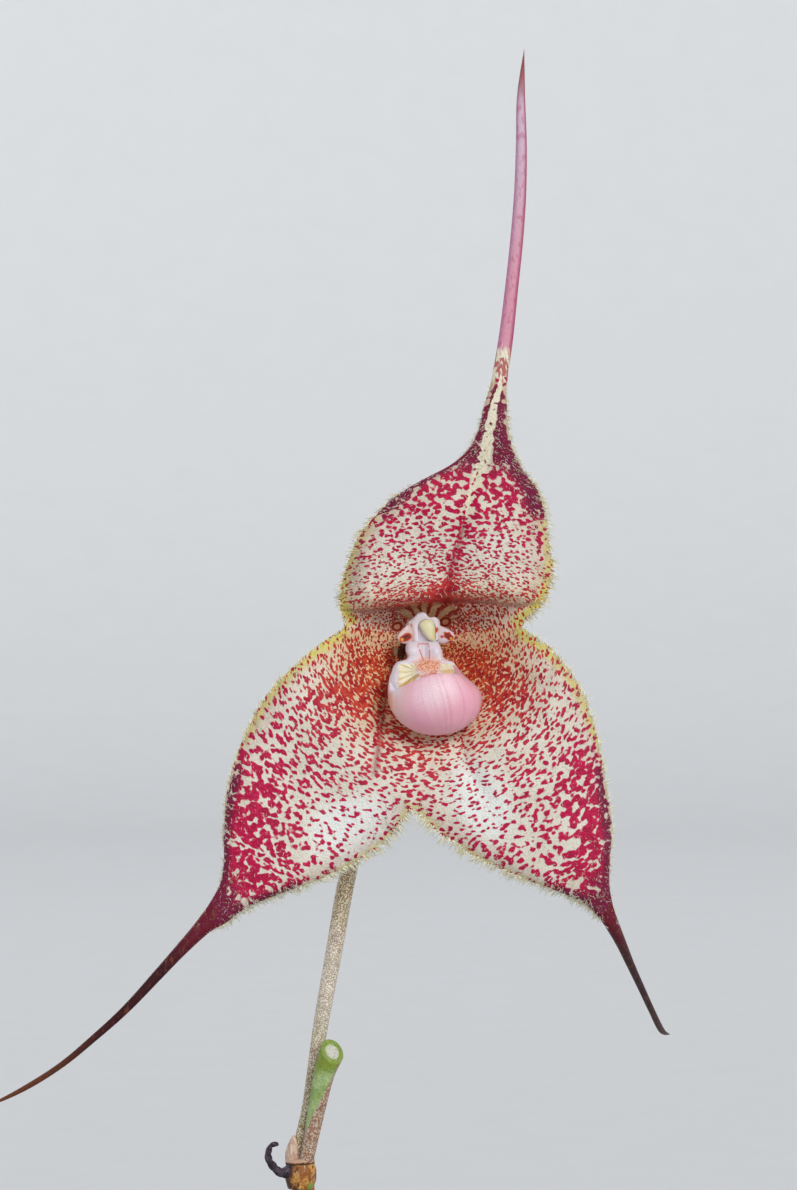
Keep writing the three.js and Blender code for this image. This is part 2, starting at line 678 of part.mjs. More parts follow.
// Lip: a clefted base that carries a swollen, shell-like bowl. The bowl's mouth is a slit
// between its bulging front and its back wall, which is ribbed with gills inside.
const BOWL_CENTRE = vec(0.8, 0.4, -6);
const BOWL_RADII = vec(4.6, 3.6, 3.55);
const BOWL_FOOT = vec(0.25, 0, -1).normalize();
const BOWL_RIM = [
  vec(-3.7, -0.3, -5),
  vec(-3.1, -0.9, -4.6),
  vec(-2, -1.6, -4.1),
  vec(-0.6, -2.1, -3.5),
  vec(1, -2.3, -3.2),
  vec(2.4, -1.9, -3.3),
  vec(3.2, -0.8, -3.4),
  vec(3.1, 1, -3),
  vec(2.5, 2.4, -2.3),
  vec(1.4, 3, -2.2),
  vec(-0.4, 3.1, -2.3),
  vec(-2.1, 3, -2.2),
  vec(-3.3, 2.3, -2.5),
  vec(-3.8, 1, -3.5),
];
const GILL_SIDES = 36;

function bowlGeometry() {
  const rim = new THREE.CatmullRomCurve3(BOWL_RIM, true).getSpacedPoints(GILL_SIDES).slice(0, -1);
  const shell = (share, size) =>
    rim.map((edge) => {
      const spoke = edge.clone().sub(BOWL_CENTRE);
      const way = spoke.clone().normalize();
      const turn = way.angleTo(BOWL_FOOT) * share;
      const axis = way.clone().cross(BOWL_FOOT).normalize();
      way.applyAxisAngle(axis, turn);
      const radius = 1 / way.clone().divide(BOWL_RADII).length();
      return way
        .multiplyScalar(mix(spoke.length(), radius, smooth(0, 0.35, share)) * size)
        .add(BOWL_CENTRE);
    });
  const throat = vec(0.2, 0.4, -5.4);
  const inner = (share, gill) =>
    rim.map((edge, side) => {
      const rib = side % 2 ? gill : 0;
      return edge.clone().lerp(throat, share + rib).add(vec(0, 0, -0.35 * share));
    });
  const rings = [0.93, 0.82, 0.68, 0.54, 0.4, 0.26, 0.13, 0].map((share) => shell(share, 1));
  rings.push(inner(0.14, 0), inner(0.3, 0.06), inner(0.5, 0.07), inner(0.75, 0.05));
  const foot = BOWL_FOOT.clone()
    .multiplyScalar(1 / BOWL_FOOT.clone().divide(BOWL_RADII).length())
    .add(BOWL_CENTRE);
  return skin(foot, rings, throat.clone().add(vec(0, 0, -0.35)));
}

function lipBaseGeometry() {
  const middle = -0.35;
  const profile = [
    [6.3, -0.6, 1, 0.5],
    [5.3, -0.75, 1.35, 0.6],
    [4.5, -1.1, 1.9, 0.75],
    [3.9, -1.6, 1.8, 0.7],
    [3.3, -2.3, 2, 0.6],
    [2.7, -2.9, 2.5, 0.5],
  ];
  const rings = profile.map(([depth, height, wide, tall]) =>
    ringOf(12, (cos, sin) => {
      const saddle = 0.3 * (Math.abs(cos) - 0.5) * Math.max(0, sin);
      return vec(middle + wide * cos, depth, height + tall * sin + saddle);
    }),
  );
  return skin(vec(middle, 6.5, -0.6), rings, vec(middle, 2.4, -3.2));
}

const lipGeometry = () => geometryOf(solidOf(bowlGeometry()).add(solidOf(lipBaseGeometry())));

place(plant, "pot", potGeometry(), "clay");
place(plant, "potting_mix", mixGeometry(), "moss");
LEAVES.forEach((leaf, index) => {
  const foot = stemFeet[index];
  const number = index + 1;
  place(plant, `leaf_stem_${number}`, roundStem(leafStemPoints(foot), sheathedRadius, 8, 12), "sheath");
  place(plant, `leaf_${number}`, leafGeometry(leaf, foot), "leaf");
});
place(plant, "peduncle", roundStem(PEDUNCLE_POINTS, peduncleRadius, 8, 26), "stem");
place(bloom, "node_bract", bractGeometry(), "dry");
place(bloom, "flower_stalk", roundStem(STALK_POINTS, stalkRadius, 10, 24), "stem");
place(bloom, "cut_stump", roundStem(STUMP_POINTS, stumpRadius, 10, 6, STUMP_SLANT), "cut");
place(bloom, "withered_curl", roundStem(CURL_POINTS, (share) => mix(0.42, 0.25, share), 8, 10), "dry");
place(bloom, "sepals", sepalsGeometry(), "sepal");
for (const petal of PETALS) place(bloom, petal.name, petalGeometry(petal), "petal");
place(bloom, "column", columnGeometry(), "column");
place(bloom, "anther_cap", antherGeometry(), "anther");
place(bloom, "lip", lipGeometry(), "lip");

export default plant;
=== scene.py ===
"""A potted orchid with one open bloom: its looks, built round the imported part."""

import contextlib
import functools
import math

import bpy
import numpy as np
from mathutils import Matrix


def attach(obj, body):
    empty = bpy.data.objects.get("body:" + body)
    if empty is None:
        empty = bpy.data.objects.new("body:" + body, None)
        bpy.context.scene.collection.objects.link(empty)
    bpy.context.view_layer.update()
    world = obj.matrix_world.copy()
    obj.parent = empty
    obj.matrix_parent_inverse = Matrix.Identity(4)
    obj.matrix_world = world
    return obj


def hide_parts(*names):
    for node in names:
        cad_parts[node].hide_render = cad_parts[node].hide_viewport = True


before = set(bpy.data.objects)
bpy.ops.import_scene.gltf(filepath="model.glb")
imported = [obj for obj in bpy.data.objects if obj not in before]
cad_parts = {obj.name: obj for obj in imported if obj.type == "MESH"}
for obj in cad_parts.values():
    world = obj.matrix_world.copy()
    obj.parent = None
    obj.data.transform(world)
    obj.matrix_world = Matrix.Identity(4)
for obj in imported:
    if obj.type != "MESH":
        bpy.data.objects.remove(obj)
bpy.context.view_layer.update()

MM = 0.001
WELD_DISTANCE = 1e-6  # metres
LINE_SAMPLES = 400
HAIR_BENDS = (0.35, 0.7)
scene = bpy.context.scene

# The bloom has its own measures: millimetres to the right, away from the viewer and up, from
# the point where the column meets the sepals. BLOOM is that point in the plant's measures.
BLOOM = np.array((9.0, -14.0, 241.0))


# Sums that shapes share

def smooth(low, high, value):
    t = np.clip((value - low) / (high - low), 0.0, 1.0)
    return t * t * (3 - 2 * t)


def mix(a, b, t):
    return a + (b - a) * t


def bell(distance, spread):
    return np.exp(-((distance / spread) ** 2))


def unit(vectors):
    return vectors / np.maximum(np.linalg.norm(vectors, axis=-1, keepdims=True), 1e-12)


def columns(*parts):
    return np.stack(parts, axis=1)


def in_bloom(x, y, z):
    """The plant's measures of places in the bloom's measures."""
    return columns(x, y, z) + BLOOM


def compass(degrees):
    return math.cos(math.radians(degrees)), math.sin(math.radians(degrees))


def circle(turn):
    """Cosine and sine of a turn that runs from 0 to 1."""
    angle = turn * 2 * math.pi
    return np.cos(angle), np.sin(angle)


def leaned(dx, dz, degrees):
    """Two offsets, numbers or wires, as seen along axes that are turned by an angle."""
    cos, sin = compass(degrees)
    return dx * cos + dz * sin, dz * cos - dx * sin


def run_of(points):
    """How far along a line of points each one lies."""
    return np.concatenate([[0], np.cumsum(np.linalg.norm(np.diff(points, axis=0), axis=1))])


def along_line(points, share):
    """Places on the smooth line through the points; share runs from 0 to 1 along it."""
    points = np.asarray(points, float)
    last = len(points) - 1
    place = np.clip(np.asarray(share, float), 0, 1) * last
    step = np.minimum(place.astype(int), last - 1)
    t = place - step
    if points.ndim > 1:
        t = t[..., None]
    before, here = points[np.maximum(step - 1, 0)], points[step]
    there, after = points[step + 1], points[np.minimum(step + 2, last)]
    leave, arrive = (there - before) / 2, (after - here) / 2
    cubic = 2 * here - 2 * there + leave + arrive
    square = -3 * here + 3 * there - 2 * leave - arrive
    return ((cubic * t + square) * t + leave) * t + here


def round_line(points, share):
    """Places on the closed smooth line through the points."""
    points = np.asarray(points, float)
    ring = np.concatenate([points[-2:], points, points[:3]])
    place = np.mod(np.asarray(share, float), 1.0) * len(points) + 2
    return along_line(ring, place / (len(ring) - 1))


def nearest(line, x, z):
    """Distance to a line of points, and how far along it the nearest place is, 0 to 1."""
    best = np.full(np.shape(x), np.inf)
    share = np.zeros(np.shape(x))
    for index, ((ax, az), (bx, bz)) in enumerate(zip(line, line[1:])):
        length = (bx - ax) ** 2 + (bz - az) ** 2
        t = np.clip(((x - ax) * (bx - ax) + (z - az) * (bz - az)) / length, 0, 1)
        distance = np.hypot(x - mix(ax, bx, t), z - mix(az, bz, t))
        closer = distance < best
        share = np.where(closer, (index + t) / (len(line) - 1), share)
        best = np.where(closer, distance, best)
    return best, share


# Working on a piece

def named(piece, name):
    piece.name = name
    piece.data.name = name
    return piece


def take(*pieces):
    """Select these pieces alone, so that the next tool acts on nothing else."""
    bpy.ops.object.select_all(action="DESELECT")
    for piece in pieces:
        piece.select_set(True)
    bpy.context.view_layer.objects.active = pieces[0]


@contextlib.contextmanager
def editing(piece):
    """Edit mode, with all of the piece picked to begin with."""
    take(piece)
    bpy.ops.object.mode_set(mode="EDIT")
    bpy.ops.mesh.select_all(action="SELECT")
    yield
    bpy.ops.object.mode_set(mode="OBJECT")


def face_out(inside=False):
    bpy.ops.mesh.select_all(action="SELECT")
    bpy.ops.mesh.normals_make_consistent(inside=inside)


def points_of(piece):
    places = np.empty(len(piece.data.vertices) * 3)
    piece.data.vertices.foreach_get("co", places)
    return places.reshape(-1, 3)


def set_points(piece, places):
    """Move a piece's points to places in millimetres."""
    piece.data.vertices.foreach_set("co", (np.asarray(places, float) * MM).ravel())
    piece.data.update()


def note(piece, name, values):
    """Keep a number, or a vector, at each point of a piece for its finish to read."""
    values = np.asarray(values, np.float32)
    kind, field = ("FLOAT", "value") if values.ndim == 1 else ("FLOAT_VECTOR", "vector")
    piece.data.attributes.new(name, kind, "POINT").data.foreach_set(field, values.ravel())


def noted(piece, name):
    values = np.empty(len(piece.data.vertices), np.float32)
    piece.data.attributes[name].data.foreach_get("value", values)
    return values


def flat_grid(name, across, along):
    """A grid to be laid on a form, with the column and row of each of its points."""
    bpy.ops.mesh.primitive_grid_add(x_subdivisions=across, y_subdivisions=along, size=2)
    piece = named(bpy.context.object, name)
    places = points_of(piece)
    column = np.rint((places[:, 0] + 1) / 2 * across).astype(int)
    row = np.rint((places[:, 1] + 1) / 2 * along).astype(int)
    return piece, column, row


def weld(piece):
    """Close seams and poles where points lie on each other."""
    with editing(piece):
        bpy.ops.mesh.remove_doubles(threshold=WELD_DISTANCE)
        face_out()


def apply_modifiers(piece):
    take(piece)
    for modifier in list(piece.modifiers):
        bpy.ops.object.modifier_apply(modifier=modifier.name)


def walled(piece, thickness, offset, group=""):
    """Give a sheet its thickness, behind its front; a group of points can thin it."""
    facing = sum(polygon.normal.y * polygon.area for polygon in piece.data.polygons)
    if facing > 0:
        piece.data.flip_normals()
    wall = piece.modifiers.new("wall", "SOLIDIFY")
    wall.thickness = thickness * MM
    wall.offset = offset
    wall.vertex_group = group
    apply_modifiers(piece)


def shade(piece, angle=None):
    take(piece)
    if angle is None:
        bpy.ops.object.shade_smooth()
    else:
        bpy.ops.object.shade_smooth_by_angle(angle=math.radians(angle))


def finished(piece, slot, material, *nodes, angle=None):
    """Give a piece its finish and its place in the model; it stands for the named nodes."""
    shade(piece, angle)
    piece.data.materials.clear()
    piece.data.materials.append(material)
    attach(piece, "root")
    if nodes:
        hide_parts(*nodes)


def wrapped(name, around, along, place):
    """A closed form: a grid whose sides meet and whose ends close, laid by place(turn, share).

    turn and share run from 0 to 1 round the form and along it. place gives millimetres."""
    piece, column, row = flat_grid(name, around, along)
    turn = (column % around) / around
    share = row / along
    set_points(piece, place(turn, share))
    cos, sin = circle(turn)
    note(piece, "turn_cos", cos)
    note(piece, "turn_sin", sin)
    note(piece, "share", share)
    weld(piece)
    return piece


def frames_along(points, stations):
    """Places on a line, with two directions across it that don't twist round it."""
    shares = np.linspace(0, 1, LINE_SAMPLES)
    run = run_of(along_line(points, shares))
    places = along_line(points, np.interp(np.linspace(0, run[-1], stations + 1), run, shares))
    ways = unit(np.gradient(places, axis=0))
    side = np.cross(ways[0], (0, 1, 0))
    if np.linalg.norm(side) < 0.2:
        side = np.cross(ways[0], (1, 0, 0))
    sides = []
    for way in ways:
        side = unit(side - way * (side @ way))
        sides.append(side)
    sides = np.array(sides)
    return places, sides, np.cross(sides, ways)


def stem(name, points, radius, sides, stations, blunt=0.012, shape=None):
    """A stem drawn along a line of points; radius is a function of the share of its length.

    shape, where given, adds to the radius from the turn and the share."""
    places, first, second = frames_along(points, stations)

    def place(turn, share):
        row = np.rint(share * stations).astype(int)
        close = np.sqrt(np.clip(np.minimum(share, 1 - share) / blunt, 0, 1))
        size = radius(share)
        if shape is not None:
            size = size + shape(turn, share)
        cos, sin = circle(turn)
        out = first[row] * cos[:, None] + second[row] * sin[:, None]
        return places[row] + out * (size * close)[:, None]

    return wrapped(name, sides, stations, place)


# Many small copies of one shape

def pattern_of(shape):
    """Corners and triangles of a small shape, which is then taken away."""
    with editing(shape):
        bpy.ops.mesh.quads_convert_to_tris()
    corners = points_of(shape)
    faces = np.array([list(polygon.vertices) for polygon in shape.data.polygons])
    bpy.data.objects.remove(shape)
    return corners, faces


def many(name, corners, faces, count, place):
    """A mesh of count copies of one shape; place(corners) gives their points in millimetres."""
    points = place(corners)
    mesh = bpy.data.meshes.new(name)
    all_faces = (faces[None] + (np.arange(count) * len(corners))[:, None, None]).reshape(-1, 3)
    mesh.from_pydata((points.reshape(-1, 3) * MM).tolist(), [], all_faces.tolist())
    mesh.update()
    piece = bpy.data.objects.new(name, mesh)
    scene.collection.objects.link(piece)
    return piece


def hair_pattern():
    """One hair, a slim three-sided cone with two rings for its bend; up is its length."""
    bpy.ops.mesh.primitive_cone_add(vertices=3, radius1=1, radius2=0, depth=1, location=(0, 0, 0.5))
    hair = bpy.context.object
    bpy.ops.object.transform_apply(location=True, rotation=True, scale=True)
    with editing(hair):
        for height in HAIR_BENDS:
            bpy.ops.mesh.select_all(action="SELECT")
            bpy.ops.mesh.bisect(plane_co=(0, 0, height), plane_no=(0, 0, 1))
    return pattern_of(hair)


def make_hairs(name, roots, ways, lengths, thick, sag, seed):
    """Hairs that grow from their roots, each its own length and lean."""
    rng = np.random.default_rng(seed)
    corners, faces = hair_pattern()
    ways = unit(ways)
    side = unit(np.cross(ways, rng.normal(size=ways.shape)))
    other = np.cross(ways, side)
    swing = unit(rng.normal(size=ways.shape)) * 0.35 + np.array((0, 0, -sag))

    def place(shape):
        up = shape[None, :, 2:3]
        grown = roots[:, None] + ways[:, None] * up * lengths[:, None, None]
        grown = grown + swing[:, None] * (up**2) * lengths[:, None, None] * 0.5
        wide = side[:, None] * shape[None, :, 0:1] + other[:, None] * shape[None, :, 1:2]
        return grown + wide * thick[:, None, None]

    hairs = many(name, corners, faces, len(roots), place)
    note(hairs, "own", np.repeat(rng.random(len(roots)), len(corners)))
    return hairs


# Finishes

class Wire:
    """A shader socket that takes sums; each sign adds the Math node for it."""

    def __init__(self, finish, socket):
        self.finish = finish
        self.socket = socket

    def math(self, operation, *others):
        return self.finish.node("Math", dict(enumerate((self, *others))), operation=operation)

    def __add__(self, other):
        return self.math("ADD", other)

    def __mul__(self, other):
        return self.math("MULTIPLY", other)

    def __sub__(self, other):
        return self.math("SUBTRACT", other)

    def __rsub__(self, other):
        return self.math("MULTIPLY_ADD", -1.0, other)

    __radd__ = __add__
    __rmul__ = __mul__

    def above(self, low, high):
        """0 below low and 1 above high, with a soft step between."""
        sockets = {"Value": self, "From Min": low, "From Max": high}
        return self.finish.node("MapRange", sockets, interpolation_type="SMOOTHSTEP")

    def below(self, low, high):
        return 1 - self.above(low, high)


def tone(colour):
    """A colour seen on a screen, 0 to 255, as the shader's linear colour. A wire stays a wire."""
    if isinstance(colour, Wire):
        return colour
    shares = np.array(colour) / 255
    linear = np.where(shares <= 0.04045, shares / 12.92, ((shares + 0.055) / 1.055) ** 2.4)
    return (*linear, 1.0)


class Finish:
    """A material and the nodes that it is made of."""

    def __init__(self, name, **constants):
        self.material = bpy.data.materials.new(name)
        self.material.use_nodes = True
        self.tree = self.material.node_tree
        self.shader = self.tree.nodes["Principled BSDF"]
        for socket, value in constants.items():
            self.shader.inputs[socket.replace("_", " ")].default_value = value
        self.where = self.node("TexCoord", {}, "Object")

    def plug(self, socket, value):
        if isinstance(value, Wire):
            self.tree.links.new(value.socket, socket)
        else:
            socket.default_value = value

    def node(self, kind, sockets, out=0, **settings):
        node = self.tree.nodes.new("ShaderNode" + kind)
        for name, value in settings.items():
            setattr(node, name, value)
        for name, value in sockets.items():
            self.plug(node.inputs[name], value)
        return Wire(self, node.outputs[out])

    def vector(self, operation, first, second):
        return self.node("VectorMath", {0: first, 1: second}, operation=operation)

    def squeezed(self, factors, vector=None):
        return self.vector("MULTIPLY", vector or self.where, factors)

    def mark(self, name, out="Fac"):
        """What note() kept at the points."""
        return self.node("Attribute", {}, out, attribute_name=name)

    def wound(self, factors):
        """The place round and along a wrapped form, squeezed by the factors."""
        marks = {axis: self.mark(name) for axis, name in enumerate(("turn_cos", "turn_sin", "share"))}
        return self.squeezed(factors, self.node("CombineXYZ", marks))

    @functools.cached_property
    def at(self):
        """The bloom's own millimetres: to the right, away from the viewer and up."""
        place = self.vector("SUBTRACT", self.squeezed((1 / MM,) * 3), tuple(BLOOM))
        return [self.node("SeparateXYZ", {0: place}, axis) for axis in "XYZ"]

    def layers(self, colour, *coats):
        """A colour under coats, each a paint and the mask that says how far it covers."""
        for paint, mask in coats:
            colour = self.node("Mix", {0: mask, 6: tone(colour), 7: tone(paint)}, 2, data_type="RGBA")
        return colour

    def noise(self, size, detail=2.0, at=None, rough=0.5, out=0):
        """Soft noise whose lumps are about size millimetres across, or units of at."""
        scale = 1 / (size * MM) if at is None else 1 / size
        sockets = {"Vector": at or self.where, "Scale": scale, "Detail": detail, "Roughness": rough}
        return self.node("TexNoise", sockets, out)

    def cells(self, size, at=None, random=1.0, melt=0.0):
        """Distance to the nearest of many scattered points; melt lets neighbours run together."""
        scale = 1 / (size * MM) if at is None else 1 / size
        sockets = {"Vector": at or self.where, "Scale": scale, "Randomness": random}
        if melt:
            sockets["Smoothness"] = melt
        return self.node("TexVoronoi", sockets, "Distance", feature="SMOOTH_F1" if melt else "F1")

    def oval(self, middle, radii, turn=0.0):
        """Distance from the middle of an oval in the bloom's measures; 1 lies on its outline."""
        wide, tall = leaned(self.at[0] - middle[0], self.at[2] - middle[1], turn)
        wide, tall = wide * (1 / radii[0]), tall * (1 / radii[1])
        return (wide * wide + tall * tall).math("SQRT")

    def line(self, start, end, width):
        """1 on the line between two places in the bloom's measures, 0 beyond its width."""
        (ax, az), (bx, bz) = start, end
        length = (bx - ax) ** 2 + (bz - az) ** 2
        dx, dz = self.at[0] - ax, self.at[2] - az
        share = (dx * (bx - ax) + dz * (bz - az)) * (1 / length)
        share = share.math("MAXIMUM", 0.0).math("MINIMUM", 1.0)
        off_x, off_z = dx - share * (bx - ax), dz - share * (bz - az)
        return (off_x * off_x + off_z * off_z).math("SQRT").below(width * 0.5, width * 1.1)

    def relief(self, height, distance, strength=1.0):
        return self.node("Bump", {"Height": height, "Distance": distance * MM, "Strength": strength})

    def done(self, colour, roughness, normal=None):
        self.plug(self.shader.inputs["Base Color"], colour)
        self.plug(self.shader.inputs["Roughness"], roughness)
        if normal is not None:
            self.plug(self.shader.inputs["Normal"], normal)
        return self.material


# Camera and light: straight in front of the bloom, level, with a long lens

CAMERA_PLACE = (6.05, -514.0, 245.5)
VIEW_DISTANCE = 500.0
VIEW_HEIGHT = 119.0
SENSOR = 36.0
FLOOR_RADIUS = 4.6  # metres
WALL_CURVE = 1.9
WALL_STEPS = 12
SKY_COLOUR = (0.96, 0.98, 1.0, 1.0)
SKY_STRENGTH = 0.56
SUNS = [  # name, way from the plant to the light, strength, softness in degrees, colour
    ("key", (0.45, -1.0, 0.6), 1.5, 22, (1.0, 0.985, 0.96)),
    ("front", (-0.06, -1.0, -0.2), 1.5, 44, (1.0, 0.99, 0.97)),
    ("back", (-0.5, 0.9, 0.7), 0.5, 20, (1.0, 1.0, 1.0)),
]


def set_camera():
    camera = bpy.data.cameras.new("view")
    camera.sensor_width = SENSOR
    camera.lens = SENSOR * VIEW_DISTANCE / VIEW_HEIGHT
    camera.clip_start = 0.01
    camera.clip_end = 50
    viewer = bpy.data.objects.new("view", camera)
    viewer.location = [value * MM for value in CAMERA_PLACE]
    viewer.rotation_euler = (math.pi / 2, 0, 0)
    scene.collection.objects.link(viewer)
    scene.camera = viewer


def set_stage():
    """A pale floor that curves up into a low pale wall all round, far from the plant."""
    bpy.ops.mesh.primitive_circle_add(vertices=96, radius=FLOOR_RADIUS, fill_type="NGON")
    floor = named(bpy.context.object, "studio_floor")
    angles = [math.pi / 2 * step / WALL_STEPS for step in range(WALL_STEPS + 1)]
    with editing(floor):
        bpy.ops.mesh.region_to_loop()
        for before, after in zip(angles, angles[1:]):
            reach = FLOOR_RADIUS + WALL_CURVE * math.sin(before)
            grow = (FLOOR_RADIUS + WALL_CURVE * math.sin(after)) / reach
            lift = WALL_CURVE * (math.cos(before) - math.cos(after))
            bpy.ops.mesh.extrude_edges_move(TRANSFORM_OT_translate={"value": (0, 0, lift)})
            bpy.ops.transform.resize(value=(grow, grow, 1), center_override=(0, 0, 0))
        face_out(inside=True)
    shade(floor)
    paper = Finish("studio_paper")
    colour = paper.layers((212, 214, 217), ((216, 218, 221), paper.noise(40, 3)))
    floor.data.materials.append(paper.done(colour, 0.9))


def set_light():
    world = bpy.data.worlds.new("studio")
    world.use_nodes = True
    sky = world.node_tree.nodes["Background"]
    sky.inputs["Color"].default_value = SKY_COLOUR
    sky.inputs["Strength"].default_value = SKY_STRENGTH
    scene.world = world
    for name, (x, y, z), strength, softness, colour in SUNS:
        lamp = bpy.data.lights.new(name, "SUN")
        lamp.energy = strength
        lamp.angle = math.radians(softness)
        lamp.color = colour
        holder = bpy.data.objects.new(name, lamp)
        holder.rotation_euler = (math.atan2(math.hypot(x, y), z), 0, math.atan2(y, x) + math.pi / 2)
        scene.collection.objects.link(holder)
    scene.view_settings.view_transform = "Standard"
    scene.view_settings.look = "None"
    scene.view_settings.exposure = 0
    scene.view_settings.gamma = 1


set_camera()
set_stage()
set_light()


# Sepals. Each is a list of cross lines from its notches to its neck: start side, middle and
# end side, as pairs across and up. Its tail follows: across, back, up and half its width.
CENTRE = np.array((0.0, 0.0))
NOTCH_LEFT = (-8.3, 1.3)
NOTCH_RIGHT = (9.3, 1.3)
NOTCH_LOW = (-1.6, -16.8)

DORSAL = {
    "cross": [
        [NOTCH_RIGHT, (1.2, 4.6), NOTCH_LEFT],
        [(11.7, 3.8), (1.8, 7.0), (-8.95, 3.8)],
        [(12.55, 6.8), (2.3, 9.4), (-8.6, 6.0)],
        [(12.1, 9.8), (3.0, 12.0), (-7.2, 9.9)],
        [(11.85, 12.6), (3.7, 14.5), (-5.4, 12.3)],
        [(11.0, 14.9), (4.5, 16.6), (-2.7, 14.6)],
        [(9.5, 16.8), (5.3, 18.3), (1.3, 16.3)],
        [(8.5, 18.8), (6.0, 19.7), (3.8, 18.4)],
        [(7.9, 21.2), (6.45, 21.6), (5.1, 20.8)],
        [(7.75, 23.4), (6.75, 23.6), (5.75, 23.3)],
    ],
    "tail": [
        (7.1, 0.2, 25.7, 0.82), (7.85, 1.7, 30.5, 0.73), (8.45, 3.6, 35.5, 0.67), (9.0, 5.5, 40.4, 0.66),
        (9.4, 7.4, 45.4, 0.62), (9.55, 8.8, 50.4, 0.56), (9.55, 10.0, 55.4, 0.42),
    ],
    "tip": (9.9, 10.8, 60.4),
}
LEFT_LATERAL = {
    "cross": [
        [NOTCH_LEFT, (-7.0, -8.6), NOTCH_LOW],
        [(-11.5, -0.9), (-9.0, -11.2), (-2.9, -18.75)],
        [(-14.15, -3.3), (-11.0, -13.7), (-4.6, -20.5)],
        [(-16.3, -5.7), (-12.8, -16.0), (-6.8, -22.0)],
        [(-17.8, -8.4), (-14.4, -18.2), (-9.3, -23.3)],
        [(-19.1, -11.4), (-15.9, -20.2), (-12.0, -24.4)],
        [(-20.1, -15.0), (-17.3, -22.1), (-14.7, -25.3)],
        [(-20.4, -18.8), (-18.6, -23.9), (-17.0, -26.2)],
        [(-20.3, -22.2), (-19.6, -25.4), (-18.8, -27.1)],
        [(-20.8, -24.9), (-20.8, -26.7), (-20.3, -28.3)],
    ],
    "tail": [
        (-22.6, 0.9, -28.8, 0.85), (-24.9, 0.5, -31.2, 0.62), (-27.2, 0.2, -33.7, 0.52),
        (-30.2, 0.0, -36.9, 0.42), (-33.4, 0.0, -39.8, 0.35), (-36.8, 0.1, -42.6, 0.3),
        (-40.8, 0.4, -45.1, 0.25),
    ],
    "tip": (-45.6, 0.9, -47.4),
}
RIGHT_LATERAL = {
    "cross": [
        [NOTCH_LOW, (5.5, -8.2), NOTCH_RIGHT],
        [(0.2, -18.65), (7.3, -10.7), (12.1, -0.6)],
        [(2.6, -20.4), (9.0, -13.1), (14.15, -3.0)],
        [(5.0, -21.9), (10.6, -15.4), (15.6, -5.5)],
        [(7.4, -23.0), (12.1, -17.5), (16.6, -8.4)],
        [(9.8, -24.0), (13.5, -19.5), (17.35, -11.6)],
        [(12.1, -24.8), (14.8, -21.4), (17.9, -15.0)],
        [(14.0, -25.5), (15.9, -23.1), (18.4, -18.4)],
        [(15.6, -26.2), (16.8, -24.7), (18.1, -21.8)],
        [(16.7, -27.2), (17.5, -26.3), (18.0, -24.9)],
    ],
    "tail": [
        (18.2, 1.7, -28.0, 0.78), (19.4, 4.2, -30.4, 0.55), (20.6, 8.0, -33.0, 0.42),
        (21.9, 12.5, -35.7, 0.36), (23.2, 17.0, -38.4, 0.33), (24.5, 21.2, -40.9, 0.31),
    ],
    "tip": (25.5, 23.5, -41.5),
}
SEPALS = [DORSAL, LEFT_LATERAL, RIGHT_LATERAL]
UPPER, LEFT, RIGHT = range(3)
NECK = 9  # the number of the last cross line
SEPAL_THICKNESS = 0.7
TAIL_THICKNESS = 1.6
CUP_DEPTH = 8.0
CUP_RADIUS = 15.0
RIDGES = [  # line, height, spread
    ([(-2.0, 0.1), (-5.0, 0.5), NOTCH_LEFT], 1.3, 1.3),
    ([(2.2, 0.1), (5.5, 0.3), NOTCH_RIGHT], 1.3, 1.3),
]
GROOVES = [  # line, depth, spread
    ([(1.7, 4.3), (2.4, 8.0), (4.2, 14.6), (6.2, 20.0)], 0.9, 0.8),
    ([(-3.6, -2.0), (-4.5, -7.0), (-5.4, -13.4)], 1.2, 0.8),
    ([(2.8, -4.0), (3.6, -12.4), (7.2, -17.6)], 0.6, 0.8),
]
CREASE = [(-7.5, 2.8), (-2.8, 3.2), (0.2, 3.5), (2.0, 4.0), (5.4, 3.8), (9.4, 3.4)]
CREASE_RISE = 1.2
SEPAL_COLUMNS = 72
SEAM_ROWS = 22
BLADE_ROWS = 84
TAIL_ROWS = 46
INNER_MARGIN = 9.0  # the margin that the seams near the centre are given


def crease_height(x):
    heights = np.full(np.shape(x), CREASE[0][1])
    for (ax, az), (bx, bz) in zip(CREASE, CREASE[1:]):
        heights = np.where(x > ax, mix(az, bz, smooth(ax, bx, x)), heights)
    return heights


def sepal_depth(x, z):
    """How far the sepals' skin lies behind the plane of their margins."""
    radius = np.hypot(x, z)
    bowl = CUP_DEPTH * (1 - smooth(1.5, CUP_RADIUS, radius))
    crease = crease_height(x)
    hood = smooth(crease, crease + CREASE_RISE, z) * (1 - smooth(7, 10.5, np.abs(x - 1.2)))
    depth = bowl * (1 - 0.75 * hood) - 0.9 * hood
    for line, height, spread in RIDGES:
        distance, share = nearest(line, x, z)
        depth = depth - height * bell(distance, spread) * (1 - 0.7 * share)
    for line, cut, spread in GROOVES:
        distance, share = nearest(line, x, z)
        ends = smooth(0, 0.12, share + 0.06) * (1 - smooth(0.5, 1, share))
        depth = depth + cut * bell(distance, spread) * ends
    wave = np.sin(x * 0.42 + 0.6) * np.sin(z * 0.36 + 0.4)
    veins = np.cos(np.arctan2(z, x) * 30) * smooth(4, 9, radius) * (1 - smooth(16, 24, radius))
    return depth + 0.35 * wave * smooth(5, 10, radius) + 0.05 * veins


